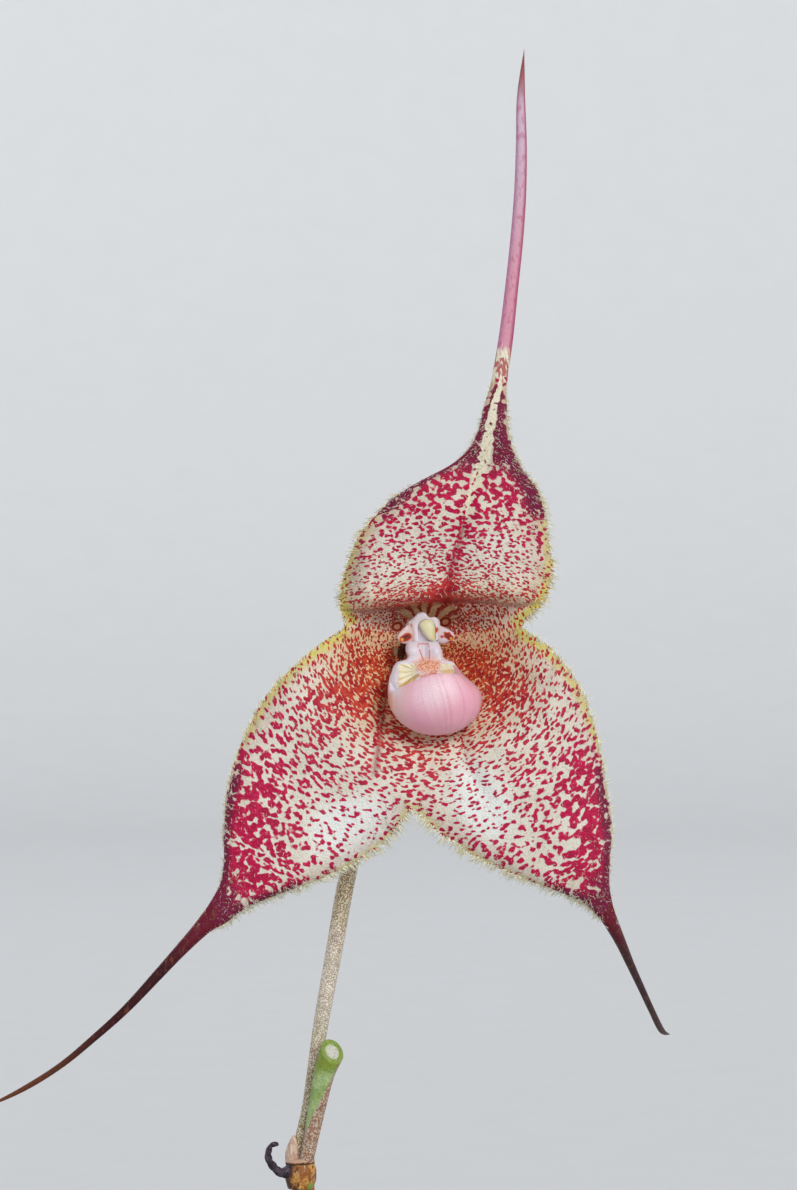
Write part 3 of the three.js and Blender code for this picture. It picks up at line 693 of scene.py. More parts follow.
def sepal_lines(sepal):
    """A sepal's start side, middle line and end side, and the number of its tip's line."""
    cross, tail, tip = sepal["cross"], sepal["tail"], sepal["tip"]
    ends = NECK + len(tail) + 1
    centres = [line[1] for line in cross] + [(x, z) for x, _, z, _ in tail] + [(tip[0], tip[2])]

    def margin(which, turn):
        points = [line[which] for line in cross]
        for index in range(NECK + 1, ends + 1):
            way = np.subtract(centres[min(index + 1, ends)], centres[index - 1])
            way = way / np.hypot(*way)
            half = tail[index - NECK - 1][3] if index < ends else 0.0
            x, z = centres[index]
            points.append((x + way[1] * half * turn, z - way[0] * half * turn))
        return points

    return margin(0, 1), centres, margin(2, -1), ends


def sepal_place(sepal, along, across):
    """Places on a sepal's middle skin, and half its width there.

    along is -1 at the centre, 0 at the notches and rises by 1 at each cross line; across runs
    from -1 to 1."""
    *sides, ends = sepal_lines(sepal)

    def on(line):
        line = np.asarray(line, float)
        seam = CENTRE + (line[0] - CENTRE) * (along + 1)[:, None]
        return np.where((along < 0)[:, None], seam, along_line(line, along / ends))

    a, b, c = (on(side) for side in sides)
    v = across[:, None]
    x, z = (b + v * (c - a) / 2 + v**2 * ((a + c) / 2 - b)).T
    edge = np.abs(across)
    blade = sepal_depth(x, z)
    blade = blade + 0.9 * np.maximum(0, (edge - 0.65) / 0.35) ** 2 * smooth(0, 1.4, along)
    ripple = np.sin(along * 9.3 + across * 2.0) + 0.6 * np.sin(along * 15.1 + 1.3 + across * 5.0)
    blade = blade + 0.09 * ripple * smooth(0.7, 1.0, edge) * smooth(0.3, 1.0, along)
    tail_depths = [y for _, y, _, _ in sepal["tail"]] + [sepal["tip"][1]]
    tail = along_line(tail_depths, (along - NECK - 1) / len(sepal["tail"]))
    y = mix(blade, tail, smooth(NECK - 1.5, NECK + 1, along))
    return columns(x, y, z), np.hypot(*(c - a).T) / 2


def sepal_thickness(sepal, along, across):
    edge = np.abs(across)
    round_edge = mix(1.0, np.sqrt(np.clip(1 - edge**6, 0, 1)), smooth(-0.3, 0.5, along))
    halves = [sepal["tail"][0][3]] + [half for *_, half in sepal["tail"]] + [0.0]
    wide = np.interp(along - NECK, range(len(halves)), halves)
    tail = wide * 1.8 * np.sqrt(np.clip(1 - edge**2, 0, 1))
    return mix(SEPAL_THICKNESS * round_edge, tail, smooth(NECK - 1.5, NECK + 1, along))


# Markings: dashes lie in rings round the column, small near it and larger further out. Above
# its crease the upper sepal has them in level rows, which are rings round a place further down.
# Sizes and lengths are pairs of lists: the radii, and the values there.
SPOT_SIZES = ([0, 3, 7, 12, 18, 26, 60], [0.16, 0.2, 0.29, 0.44, 0.58, 0.7, 0.72])
DASH_LENGTHS = ([0, 4, 8, 16, 22, 28], [0.8, 1.0, 2.1, 1.9, 1.3, 1.0])
ROWS_CENTRE = (1.5, -13.0)
ROW_SPOT_SIZES = ([0, 17, 20, 24, 28, 32, 60], [0.24, 0.24, 0.34, 0.46, 0.62, 0.7, 0.72])
ROW_DASH_LENGTHS = ([0, 17, 20, 24, 28, 32], [1.0, 1.3, 1.9, 1.6, 1.2, 1.0])
ROWS_START = 0.3  # how far above the crease
CREAM_STRIPE = [
    (3.3, 9.5), (4.0, 12.5), (4.9, 16.0), (5.6, 18.3), (6.3, 21.5), (6.8, 24.0), (7.5, 26.4), (7.8, 28.5),
]
DARK_MIDLINE = [(0.4, 3.6), (1.7, 5.0), (2.6, 8.0), (3.6, 11.5)]
LEFT_VEIN = [(-3.4, -1.0), (-4.4, -7.0), (-5.4, -13.4)]
LEFT_HEAT = [(-5.0, -1.0), (-6.2, -3.4), (-8.0, -5.8)]
RIGHT_HEAT = [(3.6, -0.6), (5.0, -2.4), (7.0, -5.0)]
SPOT_HALF = 0.545  # a spot's reach where half of the skin is covered
SPOT_GROWTH = 0.095  # how much it grows with the log odds of the cover
COVER_GAIN = 1.08
LEAST_COVER = 0.02
MOST_COVER = 0.97
PATTERN_RADIUS = 90
PATTERN_STEPS = 1801


def spot_place(x, z, sizes, lengths):
    """Where a place lies in the pattern of rings round the middle, stretched into dashes."""
    radii = np.linspace(0, PATTERN_RADIUS, PATTERN_STEPS)
    size = np.interp(radii, *sizes)
    stretch = np.sqrt(np.interp(radii, *lengths))
    ring = radii / (size * stretch)
    slope = np.gradient(ring, radii)
    rise = np.sqrt(np.maximum((stretch / size) ** 2 - slope**2, 0.04))
    height = np.concatenate([[0], np.cumsum((rise[1:] + rise[:-1]) / 2 * np.diff(radii))])
    radius = np.hypot(x, z)
    angle = np.arctan2(z, x)
    around = np.interp(radius, radii, ring)
    return columns(around * np.cos(angle), around * np.sin(angle), np.interp(radius, radii, height))


def patch(x, z, middle, radii, turn=0.0):
    """A soft oval patch, 1 in its middle and 0 well outside."""
    wide, tall = leaned(x - middle[0], z - middle[1], turn)
    return np.exp(-((wide / radii[0]) ** 2) - (tall / radii[1]) ** 2)


def upper_marks(x, z, margin):
    """The upper sepal's marks: share of the skin that is spotted, and tints; among the tints are painted
    shade along the crease and the midvein, and painted light on the cup's floor.
    """
    above = z - crease_height(x)
    floor = 1 - smooth(0.6, 3.0, above)
    midline, _ = nearest(DARK_MIDLINE, x, z)
    stripe, _ = nearest(CREAM_STRIPE, x, z)
    shoulder = smooth(4.2, 1.4, margin) * smooth(10.5, 13.5, z)
    tail_start = smooth(24.6, 26.6, z)
    cover = np.interp(z, [5, 8, 10, 12, 14, 17, 20], [0.2, 0.24, 0.28, 0.35, 0.44, 0.62, 0.9])
    cover = cover * (1 - 0.3 * smooth(5, 9, x) * smooth(13, 10, z)) * (1 - 0.2 * smooth(-3, -6, x))
    cover = cover + 0.16 * bell(stripe, 1.6) * smooth(10.0, 13.0, z)
    cover = mix(cover, 0.22 + 0.4 * bell(x - 1, 6.5), floor)
    cover = cover + 0.32 * bell(midline, 0.9) + 0.14 * bell(above - 1.4, 1.6) * bell(x - 0.5, 4.0)
    cover = np.maximum(cover, 0.9 * shoulder)
    cover = mix(cover, 0.14, smooth(1.3, 0.4, margin) * (1 - smooth(9, 12, z)))
    cover = mix(cover, 0.3, smooth(0.55, 0.25, margin) * smooth(11, 13, z))
    width = np.interp(z, [9, 12, 14.5, 17, 20, 22, 25, 28], [0.08, 0.25, 0.7, 0.8, 0.62, 0.44, 0.3, 0.24])
    cream = 1 - smooth(width * 0.7, width * 1.3, stripe)
    cover = mix(cover, np.interp(z, [12, 18], [0.22, 0.03]), cream)
    cover = mix(cover, 0.02, tail_start)

    # Below the crease lies the cup's floor. Its white (pale) and tan (throat) are lighter than its own
    # colour: painted light that lifts the shade under the hood.
    floor = 1 - smooth(-0.2, 0.6, above)
    dusk = np.maximum(shoulder, smooth(14.5, 19, z)) * (1 - smooth(24.6, 27.0, z))
    # Whiter blade above the crease: partly its own pale colour, partly painted light against the hood's
    # shade.
    pale = 0.5 * smooth(0.0, 2.5, above) * smooth(1, 3, margin) * (1 - 0.5 * smooth(9, 13, z))
    rim = smooth(1.35, 0.5, margin) * (1 - smooth(12, 15, z))
    in_rows = spot_place(x - ROWS_CENTRE[0], z - ROWS_CENTRE[1], ROW_SPOT_SIZES, ROW_DASH_LENGTHS)
    in_rings = spot_place(x, z, SPOT_SIZES, DASH_LENGTHS)
    return {
        "spot_at": np.where(above[:, None] > ROWS_START, in_rows, in_rings),
        "throat": 0.42 * floor + (1 - floor) * 0.25 * bell(above, 3.0),
        "brown": np.maximum(floor, 0.75 * bell(above, 3.5)),
        "dusk": np.maximum(dusk, 0.5 * smooth(5, 1.0, margin) * smooth(4, 8, z)),
        "pale": np.maximum(pale, 0.9 * floor),
        "rim": np.maximum(rim, 0.7 * smooth(0.5, 0.2, margin)),
        # Dark line along the crease: partly its own dark red, partly painted shade of the fold.
        "fold": bell(above - 0.35, 0.32) * bell(x - 1.0, 6.0),
        # Dark red line on the midvein: partly its colour, partly painted shade of its groove.
        "vein": 0.9 * bell(midline, 0.32) * smooth(0.3, 0.8, above),
        "cream": np.maximum(cream, tail_start),
        "tail": smooth(27.0, 31.0, z),
    }, cover


def lower_marks(left, x, z, along, across, margin):
    """A lower sepal's marks: share of the skin that is spotted, and tints; the throat's tint is partly
    painted light in the cup, and the vein's line partly painted shade.
    """
    outward = -x if left else x
    radius = np.hypot(x, z)
    hot, _ = nearest(LEFT_HEAT if left else RIGHT_HEAT, x, z)
    vein, _ = nearest(LEFT_VEIN, x, z)
    white = patch(x, z, (-7.8, -18.6), (5.4, 3.4), 20) if left else patch(x, z, (5.4, -16.2), (3.2, 5.0), 25)
    ridge = patch(x, z, (-4.4, 0.0), (2.6, 0.9), 8) if left else patch(x, z, (4.6, 0.1), (2.8, 0.9), -6)
    outer = smooth(11, 14, outward) * smooth(-10, -13.5, z)
    bare = smooth(1.4, 0.3, margin) * (1 - smooth(5.5, 7.5, along)) * (1 - outer)
    cover = 0.27 + 0.48 * bell(hot, 3.2 if left else 2.8)
    cover = cover + (0.42 if left else 0.6) * smooth(11, 19, outward) * smooth(-8.5, -15, z)
    cover = cover + 0.24 * patch(x, z, (-2.2, -10.5), (2.6, 4.0))
    cover = cover - 0.1 * smooth(5, 1, margin) * smooth(-10, -6, z)
    cover = mix(cover, 0.09, np.clip(white * 1.2, 0, 0.95))
    cover = np.maximum(cover, 0.82 * outer * smooth(2.2, 1.2, margin))
    cover = mix(cover, 0.15, np.maximum(bare, outer * smooth(0.5, 0.3, margin)))
    cover = mix(cover, 0.22, np.clip(ridge * 1.2, 0, 1))
    cover = np.maximum(cover, 0.95 * smooth(6.6, 8.6, along))
    tail = smooth(NECK - 0.2, NECK + 0.8, along)
    cover = mix(cover, 0.97, tail)

    white = np.clip(white * 1.4, 0, 1)
    dusk = np.maximum(smooth(6.0, 9.0, along), 0.45 * smooth(4, 0.5, margin) * smooth(10, 14, radius))
    sides = smooth(2.4, 0.8, margin) * smooth(11, 14, np.abs(x)) * smooth(-10, -14, z)
    upper = across < 0 if left else across > 0
    rim_width = np.where(upper, mix(1.5, 0.5, smooth(-9, -12, z)), 1.0)
    rim = smooth(rim_width, 0.3 * rim_width, margin) * (1 - smooth(5.5, 8.0, along))
    return {
        "spot_at": spot_place(x, z, SPOT_SIZES, DASH_LENGTHS),
        "throat": (1 - smooth(2.5, 13.5, radius)) * (1 - 0.4 * ridge),
        "brown": (1 - smooth(6, 19, radius)) * (1 - 0.3 * ridge),
        "dusk": np.maximum(dusk, 0.95 * sides),
        "pale": np.maximum(white, 0.42 * smooth(8, 15, radius)),
        "rim": rim * np.where(upper, 1, 0.8),
        "fold": 0 * x,
        # Dark red line on the left sepal's vein: partly its colour, partly painted shade of its groove.
        "vein": 0.75 * bell(vein, 0.35) * left * (1 - white),
        "cream": 0 * x,
        "tail": tail,
    }, cover


def sepal_marks(kind, places, along, across, margin):
    """What a sepal's finish reads at its points."""
    x, z = places[:, 0], places[:, 2]
    if kind == UPPER:
        marks, cover = upper_marks(x, z, margin)
    else:
        marks, cover = lower_marks(kind == LEFT, x, z, along, across, margin)
    cover = np.clip(cover * COVER_GAIN, LEAST_COVER, MOST_COVER)
    marks["spot_reach"] = SPOT_HALF + np.log(cover / (1 - cover)) * SPOT_GROWTH
    marks["along"], marks["across"] = along, across
    marks["dorsal"] = np.full(len(x), float(kind == UPPER))
    marks["left"] = np.full(len(x), float(kind == LEFT))
    for name in ("throat", "brown", "dusk", "pale", "rim"):
        marks[name] = np.clip(marks[name], 0, 1)
    return marks


def make_sepals():
    pieces = []
    for kind, sepal in enumerate(SEPALS):
        seam = (np.arange(SEAM_ROWS) / SEAM_ROWS) ** 0.8 - 1
        blade = NECK * np.arange(BLADE_ROWS) / BLADE_ROWS
        tail = np.linspace(NECK, NECK + len(sepal["tail"]) + 1, TAIL_ROWS + 1)
        rows = np.concatenate([seam, blade, tail])
        piece, column, row = flat_grid(f"sepal_{kind}", SEPAL_COLUMNS, len(rows) - 1)
        across = np.sin((column / SEPAL_COLUMNS - 0.5) * math.pi)
        across = np.where(column == 0, -1.0, np.where(column == SEPAL_COLUMNS, 1.0, across))
        along = rows[row]
        places, half_width = sepal_place(sepal, along, across)
        set_points(piece, places + BLOOM)
        margin = np.where(along < 0, INNER_MARGIN, (1 - np.abs(across)) * half_width)
        for mark, values in sepal_marks(kind, places, along, across, margin).items():
            note(piece, mark, values)
        weights = sepal_thickness(sepal, along, across) / TAIL_THICKNESS
        group = piece.vertex_groups.new(name="thickness")
        for index, weight in enumerate(np.clip(weights, 0.03, 1.0)):
            group.add([index], float(weight), "REPLACE")
        pieces.append(piece)
    take(*pieces)
    bpy.ops.object.join()
    sepals = named(bpy.context.object, "sepals_skin")
    weld(sepals)
    count = len(sepals.data.vertices)
    walled(sepals, TAIL_THICKNESS, offset=0, group="thickness")
    note(sepals, "front", np.arange(len(sepals.data.vertices)) < count)
    return sepals


def sepal_finish():
    f = Finish(
        "spotted_sepal", Specular_IOR_Level=0.22, Subsurface_Weight=0.12, Subsurface_Scale=0.0009,
        Subsurface_Radius=(1.0, 0.45, 0.3),
    )
    dusk, pale, throat, brown = f.mark("dusk"), f.mark("pale"), f.mark("throat"), f.mark("brown")
    tail, dorsal, side = f.mark("tail"), f.mark("dorsal"), f.mark("across")
    past_neck = f.mark("along") - NECK

    # Ground: cream, tan in the throat, white in the sparse patches, yellow along the rims. The throat's tan
    # and the white of the cup's floor are lighter than the skin's own colour, painted light that lifts the
    # cup's shade; the crease, the veins and the blisters' gaps get painted shade.
    fine = f.noise(0.5)
    cloud = f.noise(2.6, 3)
    blister = f.cells(0.2)
    ground = f.layers(
        (212, 198, 170),
        ((228, 217, 196), cloud.above(0.35, 0.65)),
        # White: the skin's sparse patches, and on the cup's floor painted light against the hood's shade
        ((240, 242, 238), pale),
        # Tan of the throat, painted lighter than its own orange: painted light in the deep cup
        ((252, 210, 152), (throat * (0.85 + 0.4 * cloud)).math("MINIMUM", 1.0)),
        ((218, 212, 104), f.mark("rim") * (0.65 + 0.35 * fine.above(0.3, 0.55))),
        ((208, 178, 166), dusk * 0.7),
        ((238, 232, 208), f.mark("cream")),
        # The crease's line: partly its dark red, partly painted shade of the fold
        ((116, 38, 52), f.mark("fold") * 0.8),
        # The veins' dark red lines: partly their colour, partly painted shade of their grooves
        ((146, 26, 52), f.mark("vein")),
        # Painted shade in the gaps between the blisters
        ((160, 128, 104), blister.above(0.5, 0.75) * 0.14),
    )

    # Spots: dashes whose outlines wander and run together where they are many
    at = f.mark("spot_at", "Vector")
    push = f.vector("SUBTRACT", f.noise(1.3, 1, at, out="Color"), (0.5,) * 3)
    near = f.cells(1.0, f.vector("ADD", at, f.squeezed((0.9,) * 3, push)), melt=0.32, random=0.92)
    lump = f.noise(0.66, 0, at)
    own = f.noise(1.7, 1, at)
    gap = f.mark("spot_reach") - 0.5 + (lump - 0.5) * 0.6 + (0.5 - near) * 0.88
    spots = gap.above(-0.06, 0.065)
    rust = f.layers((212, 80, 44), ((172, 36, 38), own.above(0.35, 0.65)))
    crimson = f.layers(
        (204, 16, 80),
        ((184, 8, 68), own.above(0.3, 0.7)),
        (rust, brown),
        ((122, 24, 64), dusk.above(0.2, 1.0)),
        ((118, 12, 40), gap.above(0.12, 0.4) * (0.3 - 0.2 * brown)),
    )
    # Painted highlight: pale glints on the blisters' tops, stronger on the whiter skin
    glint = blister.below(0.12, 0.3) * (fine.above(0.45, 0.62) * 0.5)

    # Behind the column: rays and rings of red on cream, and a painted shadow for the hollow beside its foot
    bend = f.noise(0.9, 1)
    ray = (f.at[2] - 0.9).math("ARCTAN2", f.at[0] + 0.3) + (bend - 0.5) * 0.35
    rays = f.layers((232, 208, 156), ((170, 54, 34), (ray * 15.0).math("SINE").above(0.1, 0.55)))
    coats = [
        (crimson, spots),
        ((250, 240, 232), glint * (0.2 + 0.7 * pale)),
        (rays, f.oval((0.2, 2.75), (3.2, 1.0)).below(0.7, 1.15) * dorsal * 0.85),
    ]
    for middle in ((1.8, 1.75), (-3.1, 1.3)):
        ring = f.oval(middle, (0.6, 0.46), 20) + (bend - 0.5) * 0.3
        coats.append(((232, 186, 136), ring.below(1.0, 1.3) * 0.7))
        coats.append(((166, 34, 24), (ring - 0.8).math("ABSOLUTE").below(0.18, 0.34) * 0.95))
    below = 1 - dorsal
    # Painted shadow: a dark oval for the hollow beside the column's foot, on the lower sepals only; a pale
    # strip lies beside it.
    coats.append(((52, 22, 16), f.oval((-2.55, -1.2), (0.5, 0.95), -12).below(0.75, 1.15) * below * 0.9))
    coats.append(((196, 192, 150), f.oval((-3.25, -1.2), (0.22, 0.5)).below(0.6, 1.2) * below))

    # Tails: pink and whitish on the upper one, dark maroon on the lower two
    streak = f.noise(1.0, 3, f.squeezed((2600, 2600, 700)))
    lines = f.noise(1.0, 2, f.squeezed((3200, 3200, 420)))
    pink = f.layers(
        (216, 152, 172),
        ((212, 184, 204), past_neck.above(2.5, 6.5)),
        ((176, 60, 104), side.below(-0.95, -0.3) * 0.85),
        ((184, 104, 160), side.above(0.3, 0.95) * 0.6),
        ((150, 84, 80), past_neck.above(6.6, 7.6)),
        ((180, 60, 104), streak.above(0.54, 0.66) * 0.4),
    )
    tails = f.layers(
        (112, 16, 44),
        ((58, 12, 20), past_neck.above(0.6, 3.0)),
        ((120, 62, 40), streak.above(0.55, 0.68) * 0.7),
        (f.layers((96, 78, 74), ((104, 58, 34), f.mark("left"))), past_neck.above(4.2, 7.5)),
        (pink, dorsal),
    )
    turn_in = (tail + (streak - 0.5) * (1.0 - tail) * tail * 5.0).above(0.25, 0.75)
    neck = f.at[2].above(24.8, 26.4) * dorsal
    coats.append(((172, 52, 66), lines.above(0.47, 0.56) * neck * 0.85))
    coats.append((tails, turn_in))
    back = f.layers((230, 214, 190), ((186, 84, 100), spots * 0.5), (tails, tail))
    skin = f.layers(back, (f.layers(ground, *coats), f.mark("front").above(0.3, 0.7)))

    # Blisters stand out, and the spots a little
    grit = f.noise(0.12)
    height = (1 - blister) * 0.9 + grit * 0.3 + spots * 0.35
    return f.done(skin, 0.3 + 0.3 * grit, f.relief(height, 0.09, 0.9))


# Hairs: fine pale cones along the sepals' margins and over their darker skin

FRINGES = [  # sepal, side, how many hairs, least and greatest length
    (UPPER, -1, 380, 0.5, 1.15), (UPPER, 1, 360, 0.4, 0.95), (LEFT, -1, 300, 0.3, 0.75),
    (LEFT, 1, 480, 0.55, 1.35), (RIGHT, -1, 480, 0.55, 1.35), (RIGHT, 1, 400, 0.4, 1.0),
]
FRINGE_THICKNESS = 0.092
FRINGE_SEEDS = (11, 12)  # for where the hairs stand, and for how they bend
DOWN_TRIES = 8000  # places tried on each sepal
DOWN_THICKNESS = 0.038
DOWN_SEEDS = (21, 22)


def sepal_frame(sepal, along, across):
    """Places on a sepal, half its width, and the ways along it, across it and out of its front."""
    step = 0.03
    place, half = sepal_place(sepal, along, across)
    inner = np.clip(across, -0.97, 0.97)
    forward = sepal_place(sepal, along + step, inner)[0] - sepal_place(sepal, along - step, inner)[0]
    sideways = sepal_place(sepal, along, inner + step)[0] - sepal_place(sepal, along, inner - step)[0]
    out = unit(np.cross(forward, sideways))
    return place, half, unit(forward), unit(sideways), out * np.where(out[:, 1:2] > 0, -1, 1)


def make_fringe():
    rng = np.random.default_rng(FRINGE_SEEDS[0])
    hairs = []
    for kind, side, count, least, most in FRINGES:
        along = 0.05 + rng.random(count) ** 0.9 * (NECK + 0.9)
        place, _, forward, sideways, out = sepal_frame(SEPALS[kind], along, np.full(count, float(side)))
        lean = rng.normal(0, 0.32, (count, 1))
        rise = rng.normal(0.2, 0.3, (count, 1))
        inset = rng.random((count, 1)) * 0.45
        fade = 1 - 0.5 * smooth(NECK - 1, NECK + 1, along)
        hairs.append((
            place - sideways * side * inset + out * 0.12 + BLOOM,
            sideways * side + forward * lean + out * rise,
            (least + (most - least) * rng.random(count) ** 1.4) * fade,
        ))
    roots, ways, lengths = (np.concatenate(parts) for parts in zip(*hairs))
    thick = FRINGE_THICKNESS * (0.7 + 0.5 * rng.random(len(lengths)))
    return make_hairs("margin_hairs", roots, ways, lengths, thick, sag=0.1, seed=FRINGE_SEEDS[1])


def make_down():
    """Short hairs on the sepals' darker skin and over the fold behind the column."""
    rng = np.random.default_rng(DOWN_SEEDS[0])
    hairs = []
    for kind, sepal in enumerate(SEPALS):
        along = rng.random(DOWN_TRIES) * (NECK + 1.2)
        across = rng.random(DOWN_TRIES) * 1.96 - 0.98
        place, half, forward, sideways, out = sepal_frame(sepal, along, across)
        margin = (1 - np.abs(across)) * half
        hairy = 0.05 + 0.5 * sepal_marks(kind, place, along, across, margin)["dusk"]
        hairy = hairy + (0.3 if kind == UPPER else 0.08) * smooth(1.6, 0.4, margin)
        if kind == UPPER:
            above = place[:, 2] - crease_height(place[:, 0])
            hairy = hairy + 0.15 * smooth(0.3, 1.0, above) * (1 - smooth(1.5, 3.5, above))
            hairy = hairy * smooth(-0.2, 0.6, above)
        hairy = hairy * np.clip(half / 9, 0.12, 1)
        kept = rng.random(DOWN_TRIES) < hairy
        spread = rng.normal(0, 0.5, (DOWN_TRIES, 2))
        way = out + forward * spread[:, :1] + sideways * spread[:, 1:]
        size = 0.3 + 0.45 * rng.random(DOWN_TRIES) ** 1.5
        hairs.append([part[kept] for part in (place + out * 0.3 + BLOOM, way, size)])
    roots, ways, lengths = (np.concatenate(parts) for parts in zip(*hairs))
    thick = DOWN_THICKNESS * (0.7 + 0.6 * rng.random(len(lengths)))
    return make_hairs("skin_hairs", roots, ways, lengths, thick, sag=0.25, seed=DOWN_SEEDS[1])


def hair_finish():
    f = Finish("pale_hair", Specular_IOR_Level=0.5)
    own = f.mark("own")
    colour = f.layers((250, 248, 236), ((236, 226, 170), own.above(0.4, 1.0)))
    return f.done(colour, 0.3 + 0.15 * own)


# Column, anther cap and petals

def pillow(name, outline, depth, thick, around=56, along=28):
    """A small thick flap: an outline as the viewer sees it, swollen in front and behind."""
    middle = np.mean(outline, axis=0)

    def place(turn, share):
        edge = round_line(outline, turn)
        x, z = (middle + (edge - middle) * (np.sin(share * math.pi) ** 0.85)[:, None]).T
        return in_bloom(x, depth(x) - thick * np.cos(share * math.pi), z)

    return wrapped(name, around, along, place)


HOOD_OUTER = [
    (-1.5, -0.1), (-1.75, 0.6), (-2.15, 1.25), (-2.1, 1.7), (-1.5, 2.15), (-0.95, 2.7), (-0.3, 2.75),
    (0.15, 2.25), (0.7, 2.3), (1.15, 1.95), (1.25, 1.3), (1.05, 0.6), (1.0, 0.0), (0.35, -0.3), (-0.8, -0.35),
]
HOOD_INNER = [
    (-0.9, -0.1), (-0.98, 0.5), (-1.05, 1.0), (-1.0, 1.4), (-0.85, 1.7), (-0.62, 1.9), (-0.3, 2.05),
    (0.1, 2.0), (0.45, 1.85), (0.72, 1.5), (0.82, 1.1), (0.82, 0.6), (0.78, 0.1), (0.35, -0.15), (-0.4, -0.2),
]
HOOD_RINGS = [  # share, depth, size
    (0.0, 6.9, 0.0), (0.06, 6.85, 0.4), (0.16, 6.4, 0.66), (0.28, 5.6, 0.82), (0.4, 4.7, 0.94),
    (0.5, 3.95, 1.0), (0.56, 3.72, 1.0), (0.62, 3.66, 1.0), (0.68, 3.7, 1.0), (0.76, 3.82, 0.97),
    (0.86, 3.9, 0.86), (0.94, 3.92, 0.6), (1.0, 3.92, 0.0),
]
HOOD_MIDDLE = np.array((-0.35, 0.95))


def hood_place(turn, share):
    shares, depths, sizes = np.array(HOOD_RINGS).T
    edge = mix(round_line(HOOD_OUTER, turn), round_line(HOOD_INNER, turn), smooth(0.5, 0.68, share)[:, None])
    x, z = (HOOD_MIDDLE + (edge - HOOD_MIDDLE) * np.interp(share, shares, sizes)[:, None]).T
    front = smooth(0.3, 0.6, share)
    y = np.interp(share, shares, depths) - 0.5 * smooth(1.6, 2.8, z) * front
    y = y + 0.35 * smooth(-1.2, -2.1, x) * front + 0.3 * smooth(0.9, 1.3, x) * front
    return in_bloom(x, y, z)


ANTHER = [
    (-0.78, 1.72), (-0.3, 2.02), (0.25, 1.98), (0.62, 1.66), (0.76, 1.0), (0.78, 0.3),
    (0.66, -0.12), (0.32, -0.1), (-0.05, 0.12), (-0.35, 0.5), (-0.65, 0.95), (-0.85, 1.4),
]
PETAL_LEFT = [
    (-1.95, 1.5), (-2.45, 1.15), (-2.9, 0.65), (-3.05, 0.2), (-2.8, -0.25), (-2.25, -0.42),
    (-1.55, -0.35), (-1.2, 0.3), (-1.45, 1.1),
]
PETAL_RIGHT = [
    (0.85, 1.6), (1.3, 1.4), (1.95, 1.1), (2.5, 0.72), (2.72, 0.35), (2.55, 0.02),
    (2.1, -0.18), (1.65, -0.42), (1.15, -0.35), (0.85, 0.2), (0.7, 0.9),
]


def anther_depth(x):
    return np.full(np.shape(x), 3.66)


def left_petal_depth(x):
    return 4.15 + 0.38 * (x + 1.3)


def right_petal_depth(x):
    return 4.05 - 0.34 * (x - 1.0)


# Lip: a clefted base that opens into a swollen, shell-like bowl with gills inside its mouth
BACK_WALL = [  # up, left edge, right edge, depth of the middle
    (-0.15, -1.95, 1.05, 3.35), (-0.6, -2.2, 1.22, 3.05), (-1.15, -2.22, 1.47, 2.85),
    (-1.7, -2.03, 1.53, 2.7), (-2.02, -2.3, 1.85, 2.55), (-2.2, -3.0, 2.48, 2.4), (-2.6, -3.4, 2.83, 2.05),
    (-3.1, -3.58, 3.07, 1.6), (-3.7, -3.68, 3.3, 1.1), (-4.3, -3.75, 3.3, 0.7), (-5.3, -3.5, 3.0, 0.5),
]
WALL_COLUMNS = 72
WALL_ROWS = 84
WALL_THICKNESS = 0.4
BOWL_CENTRE = np.array((0.8, 0.4, -6.0))
BOWL_RADII = np.array((4.6, 3.6, 3.55))
BOWL_FOOT = unit(np.array((0.25, 0.0, -1.0)))
BOWL_THROAT = np.array((0.2, 0.4, -5.4))
BOWL_RIM = [
    (-3.7, -0.3, -5.0), (-3.1, -0.9, -4.75), (-2.0, -1.6, -4.25), (-0.6, -2.1, -3.65),
    (1.0, -2.3, -3.25), (2.4, -1.9, -3.25), (3.2, -0.8, -3.4), (3.1, 1.0, -3.1),
    (2.6, 2.3, -2.5), (1.4, 2.9, -2.3), (-0.4, 3.0, -2.4), (-2.1, 2.9, -2.4),
    (-3.3, 2.2, -2.7), (-3.75, 1.0, -3.7),
]
RIM_SHARE = 0.78  # where the bowl's skin turns in


def wall_relief(x, z):
    """How far the lip's back wall lies behind its middle line, with its folds and gills."""
    y = -0.5 * bell(np.hypot((x + 1.45) / 0.6, (z + 1.05) / 0.62), 1.0)
    y = y - 0.45 * bell(np.hypot((x - 0.85) / 0.5, (z + 1.15) / 0.6), 1.0)
    y = y + 0.3 * bell(x + 0.35, 0.35) * smooth(-2.3, -1.6, z)
    y = y - 0.35 * bell(x + 0.1, 1.1) * smooth(-1.9, -2.6, z)
    left = smooth(-3.05, -2.7, x) * (1 - smooth(-1.7, -1.0, x)) * smooth(-2.3, -2.8, z)
    right = smooth(1.0, 1.6, x) * (1 - smooth(2.6, 3.0, x)) * smooth(-2.25, -2.6, z)
    spread = np.arctan2(z + 3.2, x + 1.0)
    gills = np.cos(spread * 18) * smooth(0.25, 0.8, np.hypot(x + 1.0, z + 3.2))
    y = y + left * (0.35 + 0.1 * gills) + right * (0.3 + 0.05 * np.cos(x * 14 + z * 5))
    band = 1 - smooth(-3.15, -2.8, x)
    y = y - band * np.interp(-z, [2.2, 3.1, 4.0, 4.9], [0.0, 0.5, 0.6, 0.2])
    return y + band * 0.02 * np.cos(z * 16)


